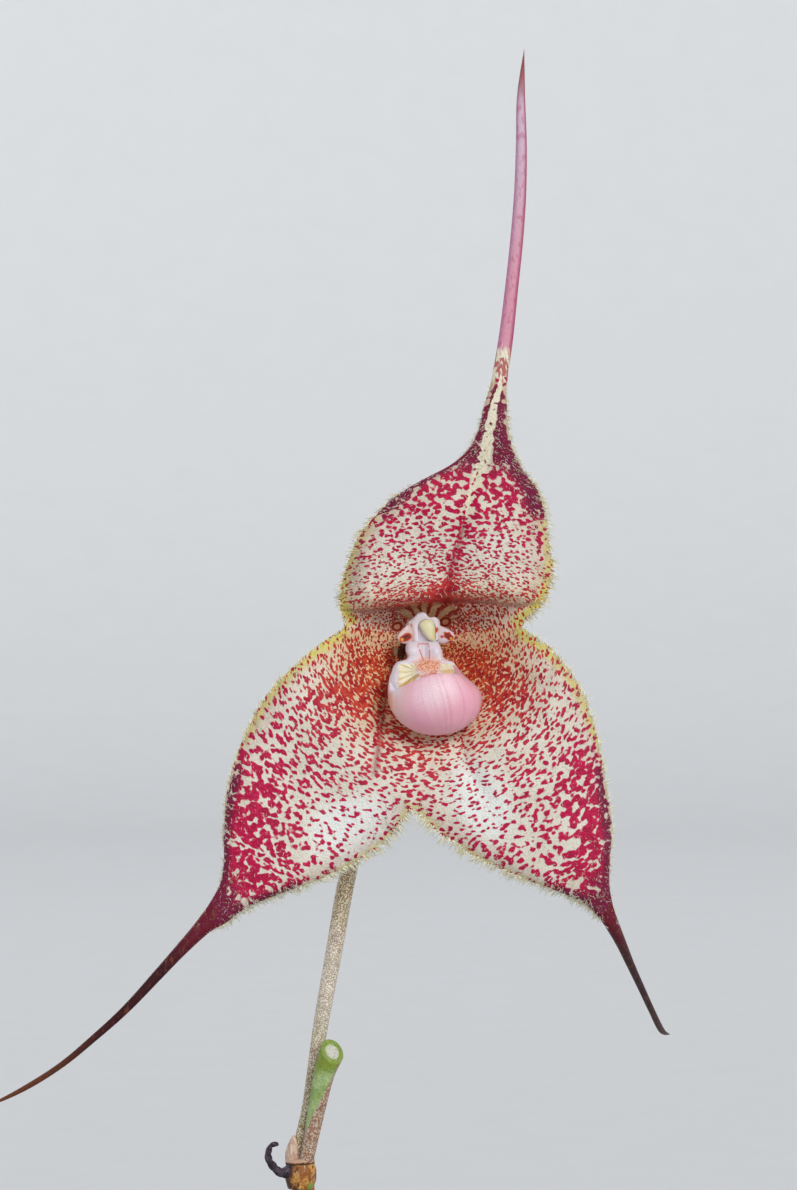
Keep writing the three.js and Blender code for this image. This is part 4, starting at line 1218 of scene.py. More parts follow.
def make_lip_base():
    piece, column, row = flat_grid("lip_base", WALL_COLUMNS, WALL_ROWS)
    v = row / WALL_ROWS
    z, left, right, depth = along_line(BACK_WALL, v).T
    across = (column / WALL_COLUMNS - 0.5) * 2
    x = mix(left, right, (across + 1) / 2)
    edge = np.clip((np.abs(across) - 0.8) / 0.2, 0, 1)
    y = depth + wall_relief(x, z) + 0.45 * edge**2 + 0.5 * np.clip(1 - v / 0.1, 0, 1) ** 2
    set_points(piece, in_bloom(x, y, z))
    walled(piece, WALL_THICKNESS, offset=-1)
    return piece


def bowl_place(turn, share):
    """The outer shell from its foot to the rolled rim, and the cavity down to the throat."""
    edge = round_line(BOWL_RIM, turn)
    spoke = edge - BOWL_CENTRE
    way = unit(spoke)
    outer = np.clip(1 - share / RIM_SHARE, 0, 1) ** 0.85
    angle = np.arccos(np.clip(way @ BOWL_FOOT, -1, 1)) * outer
    axis = unit(np.cross(way, BOWL_FOOT))
    way = way * np.cos(angle)[:, None] + np.cross(axis, way) * np.sin(angle)[:, None]
    swell = 1 / np.linalg.norm(way / BOWL_RADII, axis=1)
    reach = mix(np.linalg.norm(spoke, axis=1), swell, smooth(0, 0.35, outer))
    shell = BOWL_CENTRE + way * reach[:, None]
    inner = np.clip((share - RIM_SHARE) / (1 - RIM_SHARE), 0, 1)[:, None]
    cavity = mix(edge, BOWL_THROAT, inner) + np.array((0, 0, -0.35)) * inner
    cavity = cavity + np.array((0, 1.2, 0)) * np.sin(inner * math.pi)
    return np.where(inner > 0, cavity, shell) + BLOOM


# Stems of the flower

STALK = BLOOM + [
    (-13.45, 7.9, -53.2), (-12.75, 8.1, -50.4), (-12.0, 8.3, -47.0), (-10.9, 8.8, -39.5),
    (-9.5, 9.6, -31.7), (-8.2, 10.6, -24.4), (-5.9, 12.4, -14.8), (-2.7, 13.0, -7.4),
    (-1.0, 11.9, -3.0), (-0.4, 10.2, -1.3), (-0.1, 7.8, -0.5),
]
STUMP = BLOOM + [(-12.35, 6.9, -53.2), (-11.5, 6.6, -49.0), (-10.5, 6.1, -44.1), (-9.65, 5.8, -41.7)]
STUMP_STATIONS = 40
STUMP_RIM = 0.9
CURL = BLOOM + [
    (-13.5, 7.0, -53.7), (-14.9, 6.4, -54.0), (-15.75, 6.2, -53.2), (-16.15, 6.0, -52.1),
    (-15.85, 6.0, -51.2), (-15.05, 6.0, -51.1),
]
NODE_LEAF = [
    (-14.25, -53.3), (-14.45, -52.2), (-14.15, -51.2), (-13.6, -50.3), (-13.2, -51.0), (-13.0, -52.0),
    (-12.9, -53.3),
]
NODE = BLOOM + (-12.9, 7.4, -54.3)
NODE_RINGS = [  # share, radius
    (0.0, 0.0), (0.02, 1.25), (0.3, 1.55), (0.6, 1.6), (0.8, 1.42), (0.86, 1.5), (0.94, 1.42), (1.0, 0.0),
]
PEDUNCLE = [
    (0.0, 1.0, 60.0), (0.0, 1.0, 76.0), (0.6, 0.5, 104.0), (0.0, -1.6, 140.0),
    (-2.4, -4.6, 170.0), (-3.7, -6.6, 186.4),
]


def stalk_radius(share):
    ovary = 0.3 * smooth(0.7, 0.84, share) + 0.3 * smooth(0.94, 0.99, share)
    return mix(0.65, 0.88, smooth(0, 0.5, share)) + ovary


def curl_radius(share):
    return np.interp(share, [0, 0.14, 0.3, 0.7, 1.0], [0.8, 0.62, 0.4, 0.3, 0.14])


def crumple(turn, share):
    """The dents of dry skin."""
    angle = turn * 2 * math.pi
    return 0.08 * np.sin(3 * angle + share * 12) + 0.05 * np.sin(5 * angle - share * 31 + 1)


def node_leaf_depth(x):
    return 7.5 + 0.5 * (x + 13.6) ** 2


def peduncle_radius(share):
    return 1.15 + 0.45 * smooth(0.195, 0.2, share) * (1 - smooth(0.355, 0.362, share))


def make_stump():
    """The cut stump: skin up to its slanted rim, then the cut face to its middle."""
    places, first, second = frames_along(STUMP, STUMP_STATIONS)

    def place(turn, share):
        up = np.clip(share / STUMP_RIM, 0, 1)
        row = np.rint(up * STUMP_STATIONS).astype(int)
        inward = np.clip((share - STUMP_RIM) / (1 - STUMP_RIM), 0, 1)
        radius = mix(0.72, 1.2, up**1.6) * np.sqrt(np.clip(up / 0.02, 0, 1)) * (1 - inward)
        cos, sin = circle(turn)
        offset = first[row] * (radius * cos)[:, None] + second[row] * (radius * sin)[:, None]
        spot = places[row] + offset
        spot[:, 2] += offset[:, 1] * 0.78 * smooth(0.7, 1.0, up)
        spot[:, 2] += np.where(inward > 0, 0.07 * bell(inward - 0.12, 0.1) - 0.06 * inward, 0)
        return spot

    return wrapped("stump_skin", around=40, along=60, place=place)


def node_place(turn, share):
    radius = np.interp(share, *np.array(NODE_RINGS).T)
    cos, sin = circle(turn)
    radius = radius + 0.06 * np.sin(turn * 2 * math.pi * 7 + share * 5) * np.clip(radius, 0, 1)
    return NODE + columns(radius * cos, radius * sin, 3.3 * share - 1.55 + 0.12 * cos * share)


# Leaves

LEAVES = [  # direction, width, rise, reach, drop, wave
    (14, 20, 62, 88, 14, 0.2), (66, 19, 74, 66, 40, 1.4), (118, 21, 66, 78, 22, 2.5),
    (168, 20, 60, 92, 10, 3.3), (216, 18, 48, 74, 12, 4.4), (262, 17, 40, 68, 8, 5.2),
    (318, 19, 52, 80, 8, 6.1),
]
STEM_RING = 10.5
STEM_FOOT_HEIGHT = 60.0
STEM_TOP_HEIGHT = 90.0
STEM_LEAN = 3.5
MIX_CROWN = 74.0
MIX_EDGE = 69.5
MIX_RADIUS = 39.5
LEAF_THICKNESS = 0.8
ARCH_SAMPLES = 600


def leaf_stem_line(direction):
    out = np.array((*compass(direction), 0))
    foot = out * STEM_RING
    return [
        foot + (0, 0, STEM_FOOT_HEIGHT),
        foot + (0, 0, MIX_CROWN + 1.5),
        foot + out * STEM_LEAN * 0.3 + (0, 0, mix(MIX_CROWN, STEM_TOP_HEIGHT, 0.55)),
        foot + out * STEM_LEAN + (0, 0, STEM_TOP_HEIGHT),
    ]


def leaf_stem_radius(share):
    lower = 1.8 + 0.35 * smooth(0.42, 0.62, share)
    upper = 1.6 + 0.35 * smooth(0.75, 0.9, share)
    return np.where(share <= 0.62, lower, np.where(share <= 0.9, upper, 1.3))


def swung(turn):
    """Across a leaf, -1 to 1, where turn runs over its top and back under it."""
    swing = np.where(turn < 0.5, turn * 2, 2 - turn * 2)
    return -np.cos(swing * math.pi)


def make_leaf(number, direction, width, rise, reach, drop, wave):
    cos, sin = compass(direction)
    out = np.array((cos, sin, 0.0))
    across = np.array((-sin, cos, 0.0))
    base = leaf_stem_line(direction)[3] + (0, 0, -1.2)
    start = math.hypot(base[0], base[1])
    spread = reach - start
    handles = [
        base,
        out * (start + spread * 0.12) + (0, 0, base[2] + rise * 0.75),
        out * (start + spread * 0.5) + (0, 0, base[2] + rise * 1.25),
        out * reach + (0, 0, base[2] + rise - drop * 1.6),
    ]
    t = np.linspace(0, 1, ARCH_SAMPLES)[:, None]
    arch = ((1 - t) ** 3 * handles[0] + 3 * t * (1 - t) ** 2 * handles[1]
            + 3 * t**2 * (1 - t) * handles[2] + t**3 * handles[3])
    run = run_of(arch)
    ways = unit(np.gradient(arch, axis=0))

    def at(table, share):
        return columns(*(np.interp(share * run[-1], run, values) for values in table.T))

    def place(turn, share):
        up = np.cross(unit(at(ways, share)), across)
        blade = smooth(0.14, 0.52, share) * np.sqrt(1 - np.clip((share - 0.5) / 0.5, 0, 1) ** 2.4)
        petiole = 1 - smooth(0.03, 0.2, share)
        half = mix(1.2, width / 2, blade)
        half = half * np.sqrt(1 - (np.clip(share - 0.9, 0, 0.1) / 0.1) ** 2 * 0.98)
        upper = turn < 0.5
        column = swung(turn)
        offset = np.abs(column)
        plump = mix(LEAF_THICKNESS / 2 * np.sqrt(np.clip(1 - offset**6, 0, 1)),
                    1.05 * np.sqrt(np.clip(1 - offset**2, 0, 1)), petiole)
        keel = np.where(upper, 0, 0.7 * np.maximum(0, 1 - offset * 3.5)) * (1 - petiole)
        fold = mix(0.95, 0.2, smooth(0.08, 0.45, share)) * (1 - petiole)
        ripple = 0.5 * offset * np.sin(share * 17 + wave + np.where(column > 0, 1.1, 0))
        lift = offset * half * fold + ripple * smooth(0.3, 0.5, share)
        lift = lift + np.where(upper, 1, -1) * (plump + keel)
        close = np.minimum(1, np.sqrt(np.minimum(share, 1 - share) / 0.004))
        return at(arch, share) + across * (column * half * close)[:, None] + up * (lift * close)[:, None]

    piece = wrapped(f"leaf_blade_{number}", around=48, along=96, place=place)
    turn = np.mod(np.arctan2(noted(piece, "turn_sin"), noted(piece, "turn_cos")) / (2 * math.pi), 1)
    note(piece, "column", swung(turn))
    note(piece, "upper", smooth(-0.02, 0.02, 0.5 - turn) * smooth(0.0, 0.01, turn))
    return piece


# Pot and mix

POT_PROFILE = [  # radius, height
    (28.2, 0.0), (28.9, 0.5), (29.2, 1.4), (32.6, 20.0), (36.1, 40.0), (39.6, 60.0), (39.9, 61.6),
    (40.6, 62.1), (44.4, 62.5), (45.2, 63.1), (45.5, 64.2), (45.9, 73.6), (45.6, 75.2), (44.8, 75.9),
    (43.6, 76.0), (42.3, 75.9), (41.6, 75.2), (41.3, 74.0), (33.4, 40.0), (25.3, 5.2), (24.6, 4.2),
    (23.6, 4.0), (8.0, 4.0),
]
DRAIN_RADIUS = 3.5
DRAIN_RING = 14
DRAIN_HOLES = 4
CHIPS = 620
CHIP_REACH = 38.5
CHIP_SEED = 31
RIM_CHIPS_START = 33  # chips further out are smaller
MOSS_PATCHES = 34
MOSS_PATCH_REACH = 37
MOSS_REACH = 39
MOSS_STRANDS = 9000
MOSS_SEEDS = (41, 42)


def make_pot():
    """A disc drawn up through the profile, as on the wheel, and its drain holes."""
    bpy.ops.mesh.primitive_circle_add(vertices=96, radius=POT_PROFILE[0][0] * MM, fill_type="NGON")
    pot = named(bpy.context.object, "clay_pot")
    bpy.ops.object.transform_apply(location=True, rotation=True, scale=True)
    with editing(pot):
        for (before, low), (after, high) in zip(POT_PROFILE, POT_PROFILE[1:]):
            bpy.ops.mesh.extrude_region_move(TRANSFORM_OT_translate={"value": (0, 0, (high - low) * MM)})
            grow = after / before
            bpy.ops.transform.resize(value=(grow, grow, 1), center_override=(0, 0, 0))
        face_out()
    for hole in range(DRAIN_HOLES):
        angle = (hole + 0.5) * 2 * math.pi / DRAIN_HOLES
        place = (DRAIN_RING * MM * math.cos(angle), DRAIN_RING * MM * math.sin(angle), 2 * MM)
        bpy.ops.mesh.primitive_cylinder_add(
            vertices=32, radius=DRAIN_RADIUS * MM, depth=14 * MM, location=place
        )
        drill = bpy.context.object
        cut = pot.modifiers.new("drain", "BOOLEAN")
        cut.object = drill
        cut.operation = "DIFFERENCE"
        cut.solver = "EXACT"
        apply_modifiers(pot)
        bpy.data.objects.remove(drill)
    return pot


def mix_height(x, y):
    lumps = 0.9 * (np.sin(x * 0.55 + 1) * np.cos(y * 0.6) + np.sin((x + y) * 0.31))
    crown = 1 - (np.hypot(x, y) / MIX_RADIUS) ** 2
    return mix(MIX_EDGE, MIX_CROWN, crown) + lumps * np.clip(crown * 4, 0, 1)


def mix_place(turn, share):
    cos, sin = circle(turn)
    radius = np.interp(share, [0, 0.05, 0.2, 1.0], [0, 24.6, MIX_RADIUS, 0.0])
    x, y = radius * cos, radius * sin
    side = np.interp(share, [0, 0.05, 0.2], [4.3, 4.3, MIX_EDGE - 1.0])
    return columns(x, y, np.where(share <= 0.2, side, mix_height(x, y)))


def crown_places(rng, count, most):
    """Scattered places on top of the mix, as its x, y and height."""
    radius = most * np.sqrt(rng.random(count))
    cos, sin = circle(rng.random(count))
    x, y = radius * cos, radius * sin
    return columns(x, y, mix_height(x, y))


def free_of_stems(places, room):
    """Which places keep clear of the leaf stems and the flower stem."""
    feet = [PEDUNCLE[0][:2]] + [np.multiply(compass(leaf[0]), STEM_RING) for leaf in LEAVES]
    gaps = [np.hypot(places[:, 0] - x, places[:, 1] - y) for x, y in feet]
    return np.min(gaps, axis=0) > room


def chip_pattern():
    """One bark chip: a block with worn edges."""
    bpy.ops.mesh.primitive_cube_add(size=1)
    chip = bpy.context.object
    with editing(chip):
        bpy.ops.mesh.bevel(offset=0.14, segments=1, affect="EDGES")
    return pattern_of(chip)


def make_bark():
    """Chips of bark, tipped every way, half sunk in the mix."""
    rng = np.random.default_rng(CHIP_SEED)
    corners, faces = chip_pattern()
    spots = crown_places(rng, CHIPS, CHIP_REACH)
    spots = spots[free_of_stems(spots, room=3.4)]
    count = len(spots)
    first = unit(columns(rng.normal(size=count), rng.normal(size=count), rng.normal(0, 0.3, count)))
    up = unit(columns(rng.normal(0, 0.35, count), rng.normal(0, 0.35, count), np.ones(count)))
    second = unit(np.cross(up, first))
    third = np.cross(first, second)
    sizes = columns(
        3.0 + 5.0 * rng.random(count) ** 1.6, 2.2 + 2.8 * rng.random(count), 1.0 + 1.4 * rng.random(count)
    )
    sizes[np.hypot(spots[:, 0], spots[:, 1]) > RIM_CHIPS_START] *= 0.7

    def place(shape):
        local = (shape[None] + rng.normal(0, 0.07, (count, len(shape), 3))) * sizes[:, None]
        tipped = (local[..., 0:1] * first[:, None] + local[..., 1:2] * second[:, None]
                  + local[..., 2:3] * third[:, None])
        return spots[:, None] + tipped + np.array((0, 0, 0.2))

    bark = many("bark_chips", corners, faces, count, place)
    note(bark, "own", np.repeat(rng.random(count), len(corners)))
    return bark


def make_moss():
    """Tufts of moss that fill the gaps between the chips in patches."""
    rng = np.random.default_rng(MOSS_SEEDS[0])
    hearts = crown_places(rng, MOSS_PATCHES, MOSS_PATCH_REACH)
    hearts = hearts[rng.integers(0, MOSS_PATCHES, MOSS_STRANDS)]
    roots = hearts + rng.normal(0, 1, (MOSS_STRANDS, 3)) * (3.4, 3.4, 0)
    inside = (np.hypot(roots[:, 0], roots[:, 1]) < MOSS_REACH) & free_of_stems(roots, room=2.4)
    roots, hearts = roots[inside], hearts[inside]
    count = len(roots)
    roots[:, 2] = mix_height(roots[:, 0], roots[:, 1]) + 0.2
    ways = (roots - hearts) * 0.22 + rng.normal(0, 0.35, (count, 3))
    ways[:, 2] = 1.0
    lengths = 1.0 + 1.5 * rng.random(count)
    thick = 0.2 + 0.16 * rng.random(count)
    return make_hairs("moss_tufts", roots, ways, lengths, thick, sag=0.5, seed=MOSS_SEEDS[1])


# Finishes of the bloom's middle

def flesh(name, **constants):
    """The clear, waxy flesh of the column and lip."""
    return Finish(
        name, Subsurface_Weight=0.3, Subsurface_Scale=0.0012, Specular_IOR_Level=0.5,
        Subsurface_Radius=(1.0, 0.5, 0.4), **constants
    )


def wart(f, middle, radii, turn, dot, dot_radius):
    """A petal's dark warty patch, red at its edge, with a yellow dot."""
    rag = f.noise(0.3, 3)
    reach = f.oval(middle, radii, turn) + (rag - 0.5) * 1.1
    return (
        ((206, 84, 36), reach.below(0.85, 1.2)),
        ((150, 40, 26), reach.below(0.6, 0.95)),
        ((84, 20, 24), rag.above(0.45, 0.6) * reach.below(0.5, 0.9)),
        ((226, 178, 52), f.oval(dot, (dot_radius, dot_radius)).below(0.7, 1.1)),
    )


def hood_finish():
    f = flesh("column_flesh")
    colour = f.layers(
        (232, 222, 230),
        ((240, 232, 234), f.noise(0.9)),
        ((228, 196, 190), f.oval((-1.55, 0.5), (0.35, 1.1)).below(0.4, 1.2) * 0.7),
        ((214, 200, 216), f.mark("share").above(0.66, 0.8) * 0.9),
        ((222, 150, 122), f.oval((-2.0, 1.5), (0.14, 0.3)).below(0.6, 1.2) * 0.9),
        ((220, 140, 116), f.oval((-1.65, 1.4), (0.13, 0.26)).below(0.6, 1.2) * 0.9),
        ((222, 82, 44), f.oval((0.9, 0.98), (0.17, 0.3), -10).below(0.7, 1.15)),
    )
    grit = f.noise(0.14)
    return f.done(colour, 0.36 + 0.2 * grit, f.relief(grit, 0.03, 0.5))


def anther_finish():
    f = flesh("anther_wax")
    colour = f.layers(
        (226, 222, 176),
        ((236, 232, 200), f.noise(0.7)),
        ((212, 204, 140), f.oval((0.72, 0.4), (0.4, 1.4)).below(0.2, 1.1) * 0.7),
    )
    grit = f.noise(0.12)
    return f.done(colour, 0.3 + 0.2 * grit, f.relief(grit, 0.025, 0.5))


def petal_finish(left):
    f = flesh("petal_left_flesh" if left else "petal_right_flesh")
    cloud = f.noise(0.6)
    if left:
        warts = wart(f, (-2.2, 0.2), (0.66, 0.4), 25, (-2.58, 0.02), 0.17)
        colour = f.layers((220, 186, 176), ((226, 208, 210), cloud), *warts)
    else:
        warts = wart(f, (2.1, 0.36), (0.56, 0.36), -28, (2.34, 0.12), 0.14)
        red = f.oval((1.42, 0.3), (0.2, 0.16)).below(0.6, 1.15)
        colour = f.layers((228, 204, 208), ((236, 222, 228), cloud), *warts, ((212, 70, 50), red))
    rag = f.noise(0.3)
    return f.done(colour, 0.25 + 0.25 * rag, f.relief(f.noise(0.14) * 0.5 + rag, 0.06, 0.6))


def bowl_finish():
    f = flesh("lip_pink", Sheen_Weight=0.08)
    x, y, z = f.at
    # Painted highlight: a pale pool on the bowl's upper middle, with white dots on its pebbles
    painted_highlight = f.oval((0.7, -5.0), (3.2, 2.4), 20).below(0.1, 1.3)
    stripe = f.noise(0.45, 1, f.wound((6.0, 6.0, 0.25)))
    pebble = f.cells(0.17)
    colour = f.layers(
        (238, 164, 186),
        ((240, 180, 196), f.noise(1.6)),
        ((246, 224, 232), painted_highlight * 0.75),
        ((228, 178, 182), f.oval((0.9, -6.2), (4.5, 3.3)).above(0.75, 1.15) * 0.5),
        ((238, 206, 200), x.below(-3.4, -1.2) * 0.8),
        ((232, 220, 230), x.below(-3.2, -2.2) * z.above(-6.2, -4.9)),
        # Painted light: a warm orange rim light along the bowl's lower left edge
        ((236, 178, 140), x.below(-3.8, -3.3) * z.below(-5.6, -5.0) * 0.7),
        ((214, 142, 162), stripe.above(0.42, 0.72) * (0.16 + 0.3 * x.above(0, 3))),
        ((226, 142, 92), y.above(0.5, 1.7) * x.below(-1.0, 1.5) * z.below(-4.6, -4.0)),
        # Painted highlight on the pebbles: white dots where the pool lies
        ((254, 244, 248), pebble.below(0.1, 0.45) * painted_highlight * 0.75),
    )
    return f.done(colour, 0.3 + 0.25 * f.noise(0.1, 1), f.relief(1 - pebble + stripe * 0.5, 0.03, 0.6))


def lip_base_finish():
    f = flesh("lip_cleft")
    x, _, z = f.at
    cloud = f.noise(0.8)
    grain = f.noise(0.16)
    rose, red = (220, 142, 156), (214, 118, 104)
    orange = f.layers((246, 204, 180), ((228, 124, 74), grain.above(0.4, 0.6)))
    # Gills: cream ridges with ochre between them, spread like a fan from the cleft; the ochre is painted
    # shade between the ridges.
    fan = (z + 3.2).math("ARCTAN2", x + 1.0) + (cloud - 0.5) * 0.12
    wave = (fan * 16.0).math("COSINE").above(0.0, 1.0)
    cream = f.layers((250, 242, 214), ((232, 198, 124), wave * (0.4 + 0.5 * cloud)))
    ochre = f.layers((242, 228, 196), ((228, 196, 142), wave))
    colour = f.layers(
        (232, 222, 234),
        ((240, 232, 240), cloud),
        ((214, 204, 212), f.oval((-0.35, -1.0), (0.5, 1.1)).below(0.5, 1.2) * 0.6),
        (rose, f.line((-1.0, -0.72), (-0.9, -0.42), 0.11) * 0.7),
        (rose, f.line((-0.9, -0.42), (-0.02, -0.4), 0.11) * 0.7),
        (rose, f.line((-0.02, -0.4), (0.12, -0.74), 0.11) * 0.7),
        (orange, f.oval((0.0, -2.6), (2.0, 1.05)).below(0.3, 1.2)),
        (red, f.line((-0.85, -1.0), (-0.43, -2.1), 0.08) * 0.9),
        (red, f.line((0.15, -1.05), (0.15, -1.85), 0.08) * 0.9),
        (cream, x.above(-3.05, -2.85) * x.below(-1.5, -1.0) * z.below(-2.6, -2.3)),
        # Painted shade: a dark ochre line for the deep groove above the bowl's edge
        ((188, 146, 56), f.line((-2.75, -4.75), (-1.0, -3.55), 0.22) * 0.8),
        (ochre, x.above(1.1, 1.5) * z.below(-2.5, -2.3)),
        ((232, 222, 228), x.above(2.5, 2.8)),
        ((216, 84, 40), f.line((-0.7, -3.72), (0.8, -3.28), 0.2) * grain.above(0.3, 0.6) * 0.8),
        ((226, 216, 226), x.below(-3.1, -2.9)),
    )
    return f.done(colour, 0.25 + 0.3 * grain, f.relief(grain, 0.05, 0.7))


# Finishes of the stems

def scurfy(name, base, warm, scurf, amount, size, gloss=0.55):
    """Stem skin under a scurf of pale scales, warmer in patches."""
    f = Finish(name, Specular_IOR_Level=gloss)
    patchy = f.noise(3.0, 3, rough=0.6)
    fine = f.noise(0.35, 3)
    rag = f.noise(size * 0.7)
    near = f.cells(size, melt=0.1) + (rag - 0.5) * 0.5 - patchy * 0.25
    scales = near.below(amount - 0.12, amount + 0.06)
    colour = f.layers(
        base,
        (warm, patchy.above(0.42, 0.62)),
        (scurf, scales * (0.55 + 0.45 * fine)),
        (tuple(value * 0.72 for value in warm), f.noise(0.8).above(0.58, 0.7) * 0.5),
    )
    return f, colour, 0.52 + 0.25 * fine, f.relief(scales + fine * 0.6, 0.09)


def stalk_finish():
    f, colour, rough, normal = scurfy(
        "scurfy_stalk", (150, 126, 64), (168, 120, 78), (248, 236, 212), 0.47, 0.16, 0.9
    )
    # Painted highlight: a pale sheen down the stalk's middle where the light glances off it
    painted_shine = f.oval((-10.3, -35.0), (3.4, 9.0)).below(0.2, 1.3)
    return f.done(f.layers(colour, ((255, 252, 246), painted_shine * 0.3)), rough - 0.3, normal)


def stump_finish():
    f, skin, rough, normal = scurfy("cut_stump", (166, 126, 98), (158, 106, 78), (222, 204, 186), 0.4, 0.22)
    share = f.mark("share")
    away = share.below(0.9, 1.0)
    cloud = f.noise(1.2)
    green = f.layers(
        (134, 166, 78),
        ((180, 204, 142), cloud.above(0.3, 0.7)),
        ((140, 160, 52), f.at[2].above(-44.4, -42.8)),
    )
    cut = f.layers(
        (226, 226, 214),
        ((206, 218, 178), away.above(0.42, 0.54)),
        ((140, 166, 66), away.above(0.6, 0.72)),
        ((188, 186, 168), f.noise(0.3).above(0.5, 0.7) * 0.5),
    )
    slope = f.at[2] - (f.at[0] + 9.3) * 2.0 + cloud * 0.8
    colour = f.layers(skin, (green, slope.above(-43.3, -42.9)), (cut, share.above(0.895, 0.905)))
    return f.done(colour, rough, normal)


def curl_finish():
    f = Finish("withered_bract", Specular_IOR_Level=0.3)
    creases = f.noise(0.5, 4, rough=0.7)
    colour = f.layers(
        (34, 24, 34),
        ((98, 82, 98), creases.above(0.4, 0.7)),
        ((168, 150, 140), f.noise(0.3).above(0.64, 0.74) * 0.7),
    )
    return f.done(colour, 0.55, f.relief(creases, 0.12))


def node_finish(leaf):
    f = Finish("papery_bract" if leaf else "rusty_node", Specular_IOR_Level=0.4)
    mottle = f.noise(0.7, 4, rough=0.65)
    fibre = f.noise(0.3, 2, f.squeezed((1600, 1600, 300)))
    if leaf:
        colour = f.layers(
            (200, 160, 138),
            ((232, 210, 190), fibre.above(0.4, 0.6)),
            ((150, 100, 70), mottle.above(0.56, 0.66) * 0.6),
        )
    else:
        share = f.mark("share")
        green = f.oval((-11.7, -55.7), (0.5, 0.7), 20).below(0.5, 1.2)
        colour = f.layers(
            (150, 88, 34),
            ((206, 150, 74), mottle.above(0.42, 0.6)),
            ((64, 38, 22), f.noise(0.5, 3).above(0.54, 0.62) * 0.85),
            ((222, 196, 160), fibre.above(0.6, 0.7) * 0.6),
            ((56, 38, 38), (f.at[0] + mottle).below(-13.6, -13.0) * 0.85),
            ((120, 160, 60), green * mottle.above(0.35, 0.45)),
            ((58, 34, 26), (share - 0.82).math("ABSOLUTE").below(0.02, 0.04) * 0.9),
            ((206, 170, 146), share.above(0.86, 0.9)),
        )
    return f.done(colour, 0.5, f.relief(fibre + mottle, 0.1, 0.9))


def peduncle_finish():
    f, skin, rough, normal = scurfy(
        "flower_stem_skin", (108, 112, 62), (128, 104, 62), (164, 152, 110), 0.34, 0.3
    )
    share = f.mark("share")
    mottle = f.noise(1.6, 4, rough=0.65)
    fibre = f.noise(0.35, 2, f.squeezed((2200, 2200, 160)))
    rust = f.layers((150, 84, 38), ((206, 170, 120), mottle.above(0.45, 0.62)))
    paper = f.layers((158, 132, 88), ((206, 186, 142), fibre.above(0.4, 0.62)))
    sheath = share.above(0.193, 0.197) * share.below(0.358, 0.364)
    colour = f.layers(skin, (rust, share.above(0.93, 0.985)), (paper, sheath))
    return f.done(colour, rough, normal)


def sheath_finish():
    f = Finish("papery_sheath", Specular_IOR_Level=0.3)
    fibre = f.noise(1.0, 3, f.wound((7.0, 7.0, 2.0)))
    colour = f.layers(
        (138, 112, 70),
        ((190, 168, 120), fibre.above(0.38, 0.64)),
        ((92, 68, 42), f.noise(3.0, 4, rough=0.6).above(0.52, 0.68) * 0.75),
        ((96, 128, 58), f.mark("share").above(0.9, 0.915)),
    )
    return f.done(colour, 0.6 + 0.15 * fibre, f.relief(fibre, 0.12, 0.9))


# Finishes of the leaves, pot and mix

def leaf_finish():
    f = Finish("leaf_skin", Specular_IOR_Level=0.5, Coat_Weight=0.12, Coat_Roughness=0.25,
               Subsurface_Weight=0.06, Subsurface_Scale=0.001)
    column, share = f.mark("column"), f.mark("share")
    offset = column * column
    cloud = f.noise(14, 3)
    fleck = f.noise(1.2, 3, rough=0.6)
    upper = f.layers(
        (58, 104, 40),
        ((88, 132, 52), cloud.above(0.35, 0.65)),
        ((104, 146, 66), fleck.above(0.5, 0.75) * 0.35),
    )
    colour = f.layers(
        (120, 148, 84),
        ((138, 160, 98), cloud),
        (upper, f.mark("upper").above(0.4, 0.6)),
        ((132, 160, 84), offset.below(0.0004, 0.004) * 0.7),
        ((128, 150, 78), share.below(0.04, 0.3) * 0.7),
        ((150, 120, 62), share.above(0.985, 1.0)),
        ((110, 138, 64), offset.above(0.93, 1.0) * 0.5),
    )
    veins = (column * 34.0 + fleck * 0.6).math("SINE")
    cross = f.noise(0.8)
    height = veins * 0.22 + cross * 0.35 + f.noise(0.3) * 0.2
    return f.done(colour, 0.36 + 0.16 * cross, f.relief(height, 0.18, 0.5))


def clay_finish():
    f = Finish("fired_clay", Specular_IOR_Level=0.25)
    cloud = f.noise(22, 4, rough=0.6)
    grit = f.noise(0.9, 4, rough=0.7)
    height = f.node("SeparateXYZ", {0: f.where}, "Z") * (1 / MM)
    salts = (f.noise(9, 5, rough=0.65) + height.below(4, 26) * 0.16).above(0.55, 0.7)
    tide = (height + f.noise(12) * 9).above(60, 63) * (height + cloud * 4).below(66, 70)
    colour = f.layers(
        (168, 98, 68),
        ((190, 124, 90), cloud.above(0.35, 0.65)),
        ((150, 80, 50), grit.above(0.56, 0.72) * 0.5),
        ((214, 192, 170), salts * 0.5),
        ((206, 178, 150), tide * 0.35),
        ((96, 92, 52), f.noise(16, 3).above(0.6, 0.75) * height.below(10, 60) * 0.35),
    )
    rings = (height * 2.6 + cloud * 2.5).math("SINE")
    return f.done(colour, 0.82 - 0.12 * grit, f.relief(grit * 0.8 + rings * 0.1, 0.22, 0.8))


def mix_finish():
    f = Finish("bark_mix", Specular_IOR_Level=0.2)
    lump = f.noise(3.0, 5, rough=0.7)
    colour = f.layers(
        (52, 38, 26),
        ((98, 72, 44), lump.above(0.4, 0.65)),
        ((112, 112, 54), f.noise(7, 4).above(0.5, 0.62) * 0.7),
    )
    return f.done(colour, 0.85, f.relief(lump, 0.9))


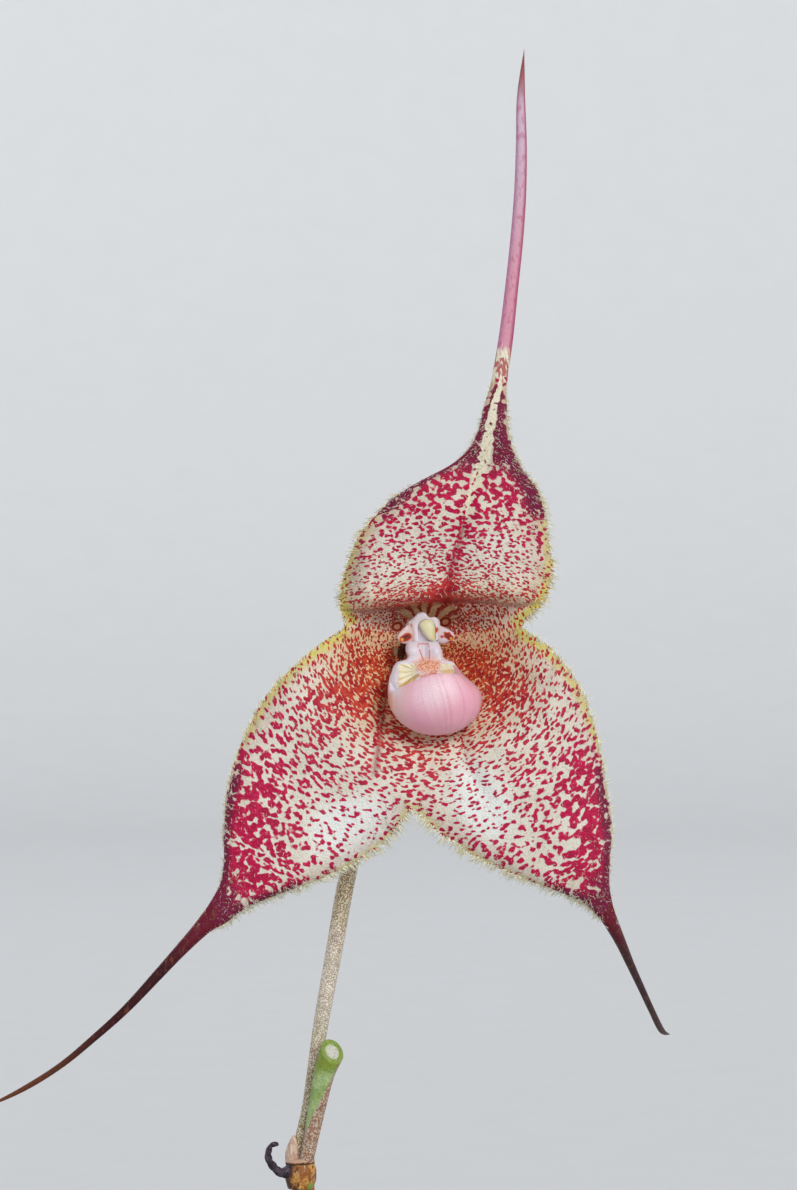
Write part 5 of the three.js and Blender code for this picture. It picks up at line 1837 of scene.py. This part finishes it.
def bark_finish():
    f = Finish("bark", Specular_IOR_Level=0.25)
    grain = f.noise(0.5, 4, f.squeezed((400, 400, 1400)), 0.65)
    colour = f.layers(
        (74, 50, 34),
        ((124, 86, 54), f.mark("own")),
        ((44, 30, 22), grain.above(0.5, 0.7) * 0.8),
        ((150, 118, 84), f.noise(2.4, 3).above(0.58, 0.7) * 0.5),
    )
    return f.done(colour, 0.75, f.relief(grain, 0.4, 0.9))


def moss_finish():
    f = Finish("moss", Specular_IOR_Level=0.3)
    own = f.mark("own")
    return f.done(f.layers((62, 80, 32), ((118, 128, 58), own), ((150, 130, 78), own.above(0.9, 0.96))), 0.6)


# The plant, put together

pale_hair = hair_finish()
sheath_paper = sheath_finish()
leaf_skin = leaf_finish()
finished(make_sepals(), "sepal", sepal_finish(), "sepals")
finished(make_fringe(), "sepal", pale_hair)
finished(make_down(), "sepal", pale_hair)
hood = wrapped("column_hood", around=72, along=56, place=hood_place)
finished(hood, "column", hood_finish(), "column")
anther = pillow("anther_cap_skin", ANTHER, anther_depth, thick=0.55)
petal_left = pillow("petal_left_skin", PETAL_LEFT, left_petal_depth, thick=0.3)
petal_right = pillow("petal_right_skin", PETAL_RIGHT, right_petal_depth, thick=0.3)
finished(anther, "anther", anther_finish(), "anther_cap")
finished(petal_left, "petal", petal_finish(True), "petal_left")
finished(petal_right, "petal", petal_finish(False), "petal_right")
bowl = wrapped("lip_bowl", around=120, along=80, place=bowl_place)
finished(bowl, "lip", bowl_finish(), "lip")
finished(make_lip_base(), "lip", lip_base_finish(), "lip", angle=60)
stalk = stem("flower_stalk_skin", STALK, stalk_radius, sides=20, stations=110, blunt=0.01)
finished(stalk, "stem", stalk_finish(), "flower_stalk")
finished(make_stump(), "cut_green", stump_finish(), "cut_stump", angle=50)
curl = stem("curled_bract", CURL, curl_radius, sides=16, stations=70, shape=crumple)
finished(curl, "dry_bract", curl_finish(), "withered_curl")
node = wrapped("node_scale", around=36, along=24, place=node_place)
finished(node, "dry_bract", node_finish(False), "node_bract")
node_leaf = pillow("node_leaf", NODE_LEAF, node_leaf_depth, thick=0.42, around=40, along=20)
finished(node_leaf, "dry_bract", node_finish(True))
peduncle = stem("flower_stem", PEDUNCLE, peduncle_radius, sides=20, stations=200, blunt=0.004)
finished(peduncle, "stem", peduncle_finish(), "peduncle")
for number, leaf in enumerate(LEAVES, 1):
    line = leaf_stem_line(leaf[0])
    sheath = stem(f"leaf_sheath_{number}", line, leaf_stem_radius, sides=32, stations=90, blunt=0.01)
    finished(sheath, "sheath", sheath_paper, f"leaf_stem_{number}")
    finished(make_leaf(number, *leaf), "leaf", leaf_skin, f"leaf_{number}")
finished(make_pot(), "clay", clay_finish(), "pot", angle=40)
mix_body = wrapped("mix_body", around=120, along=100, place=mix_place)
finished(mix_body, "mix", mix_finish(), "potting_mix")
finished(make_bark(), "mix", bark_finish(), angle=30)
finished(make_moss(), "mix", moss_finish())
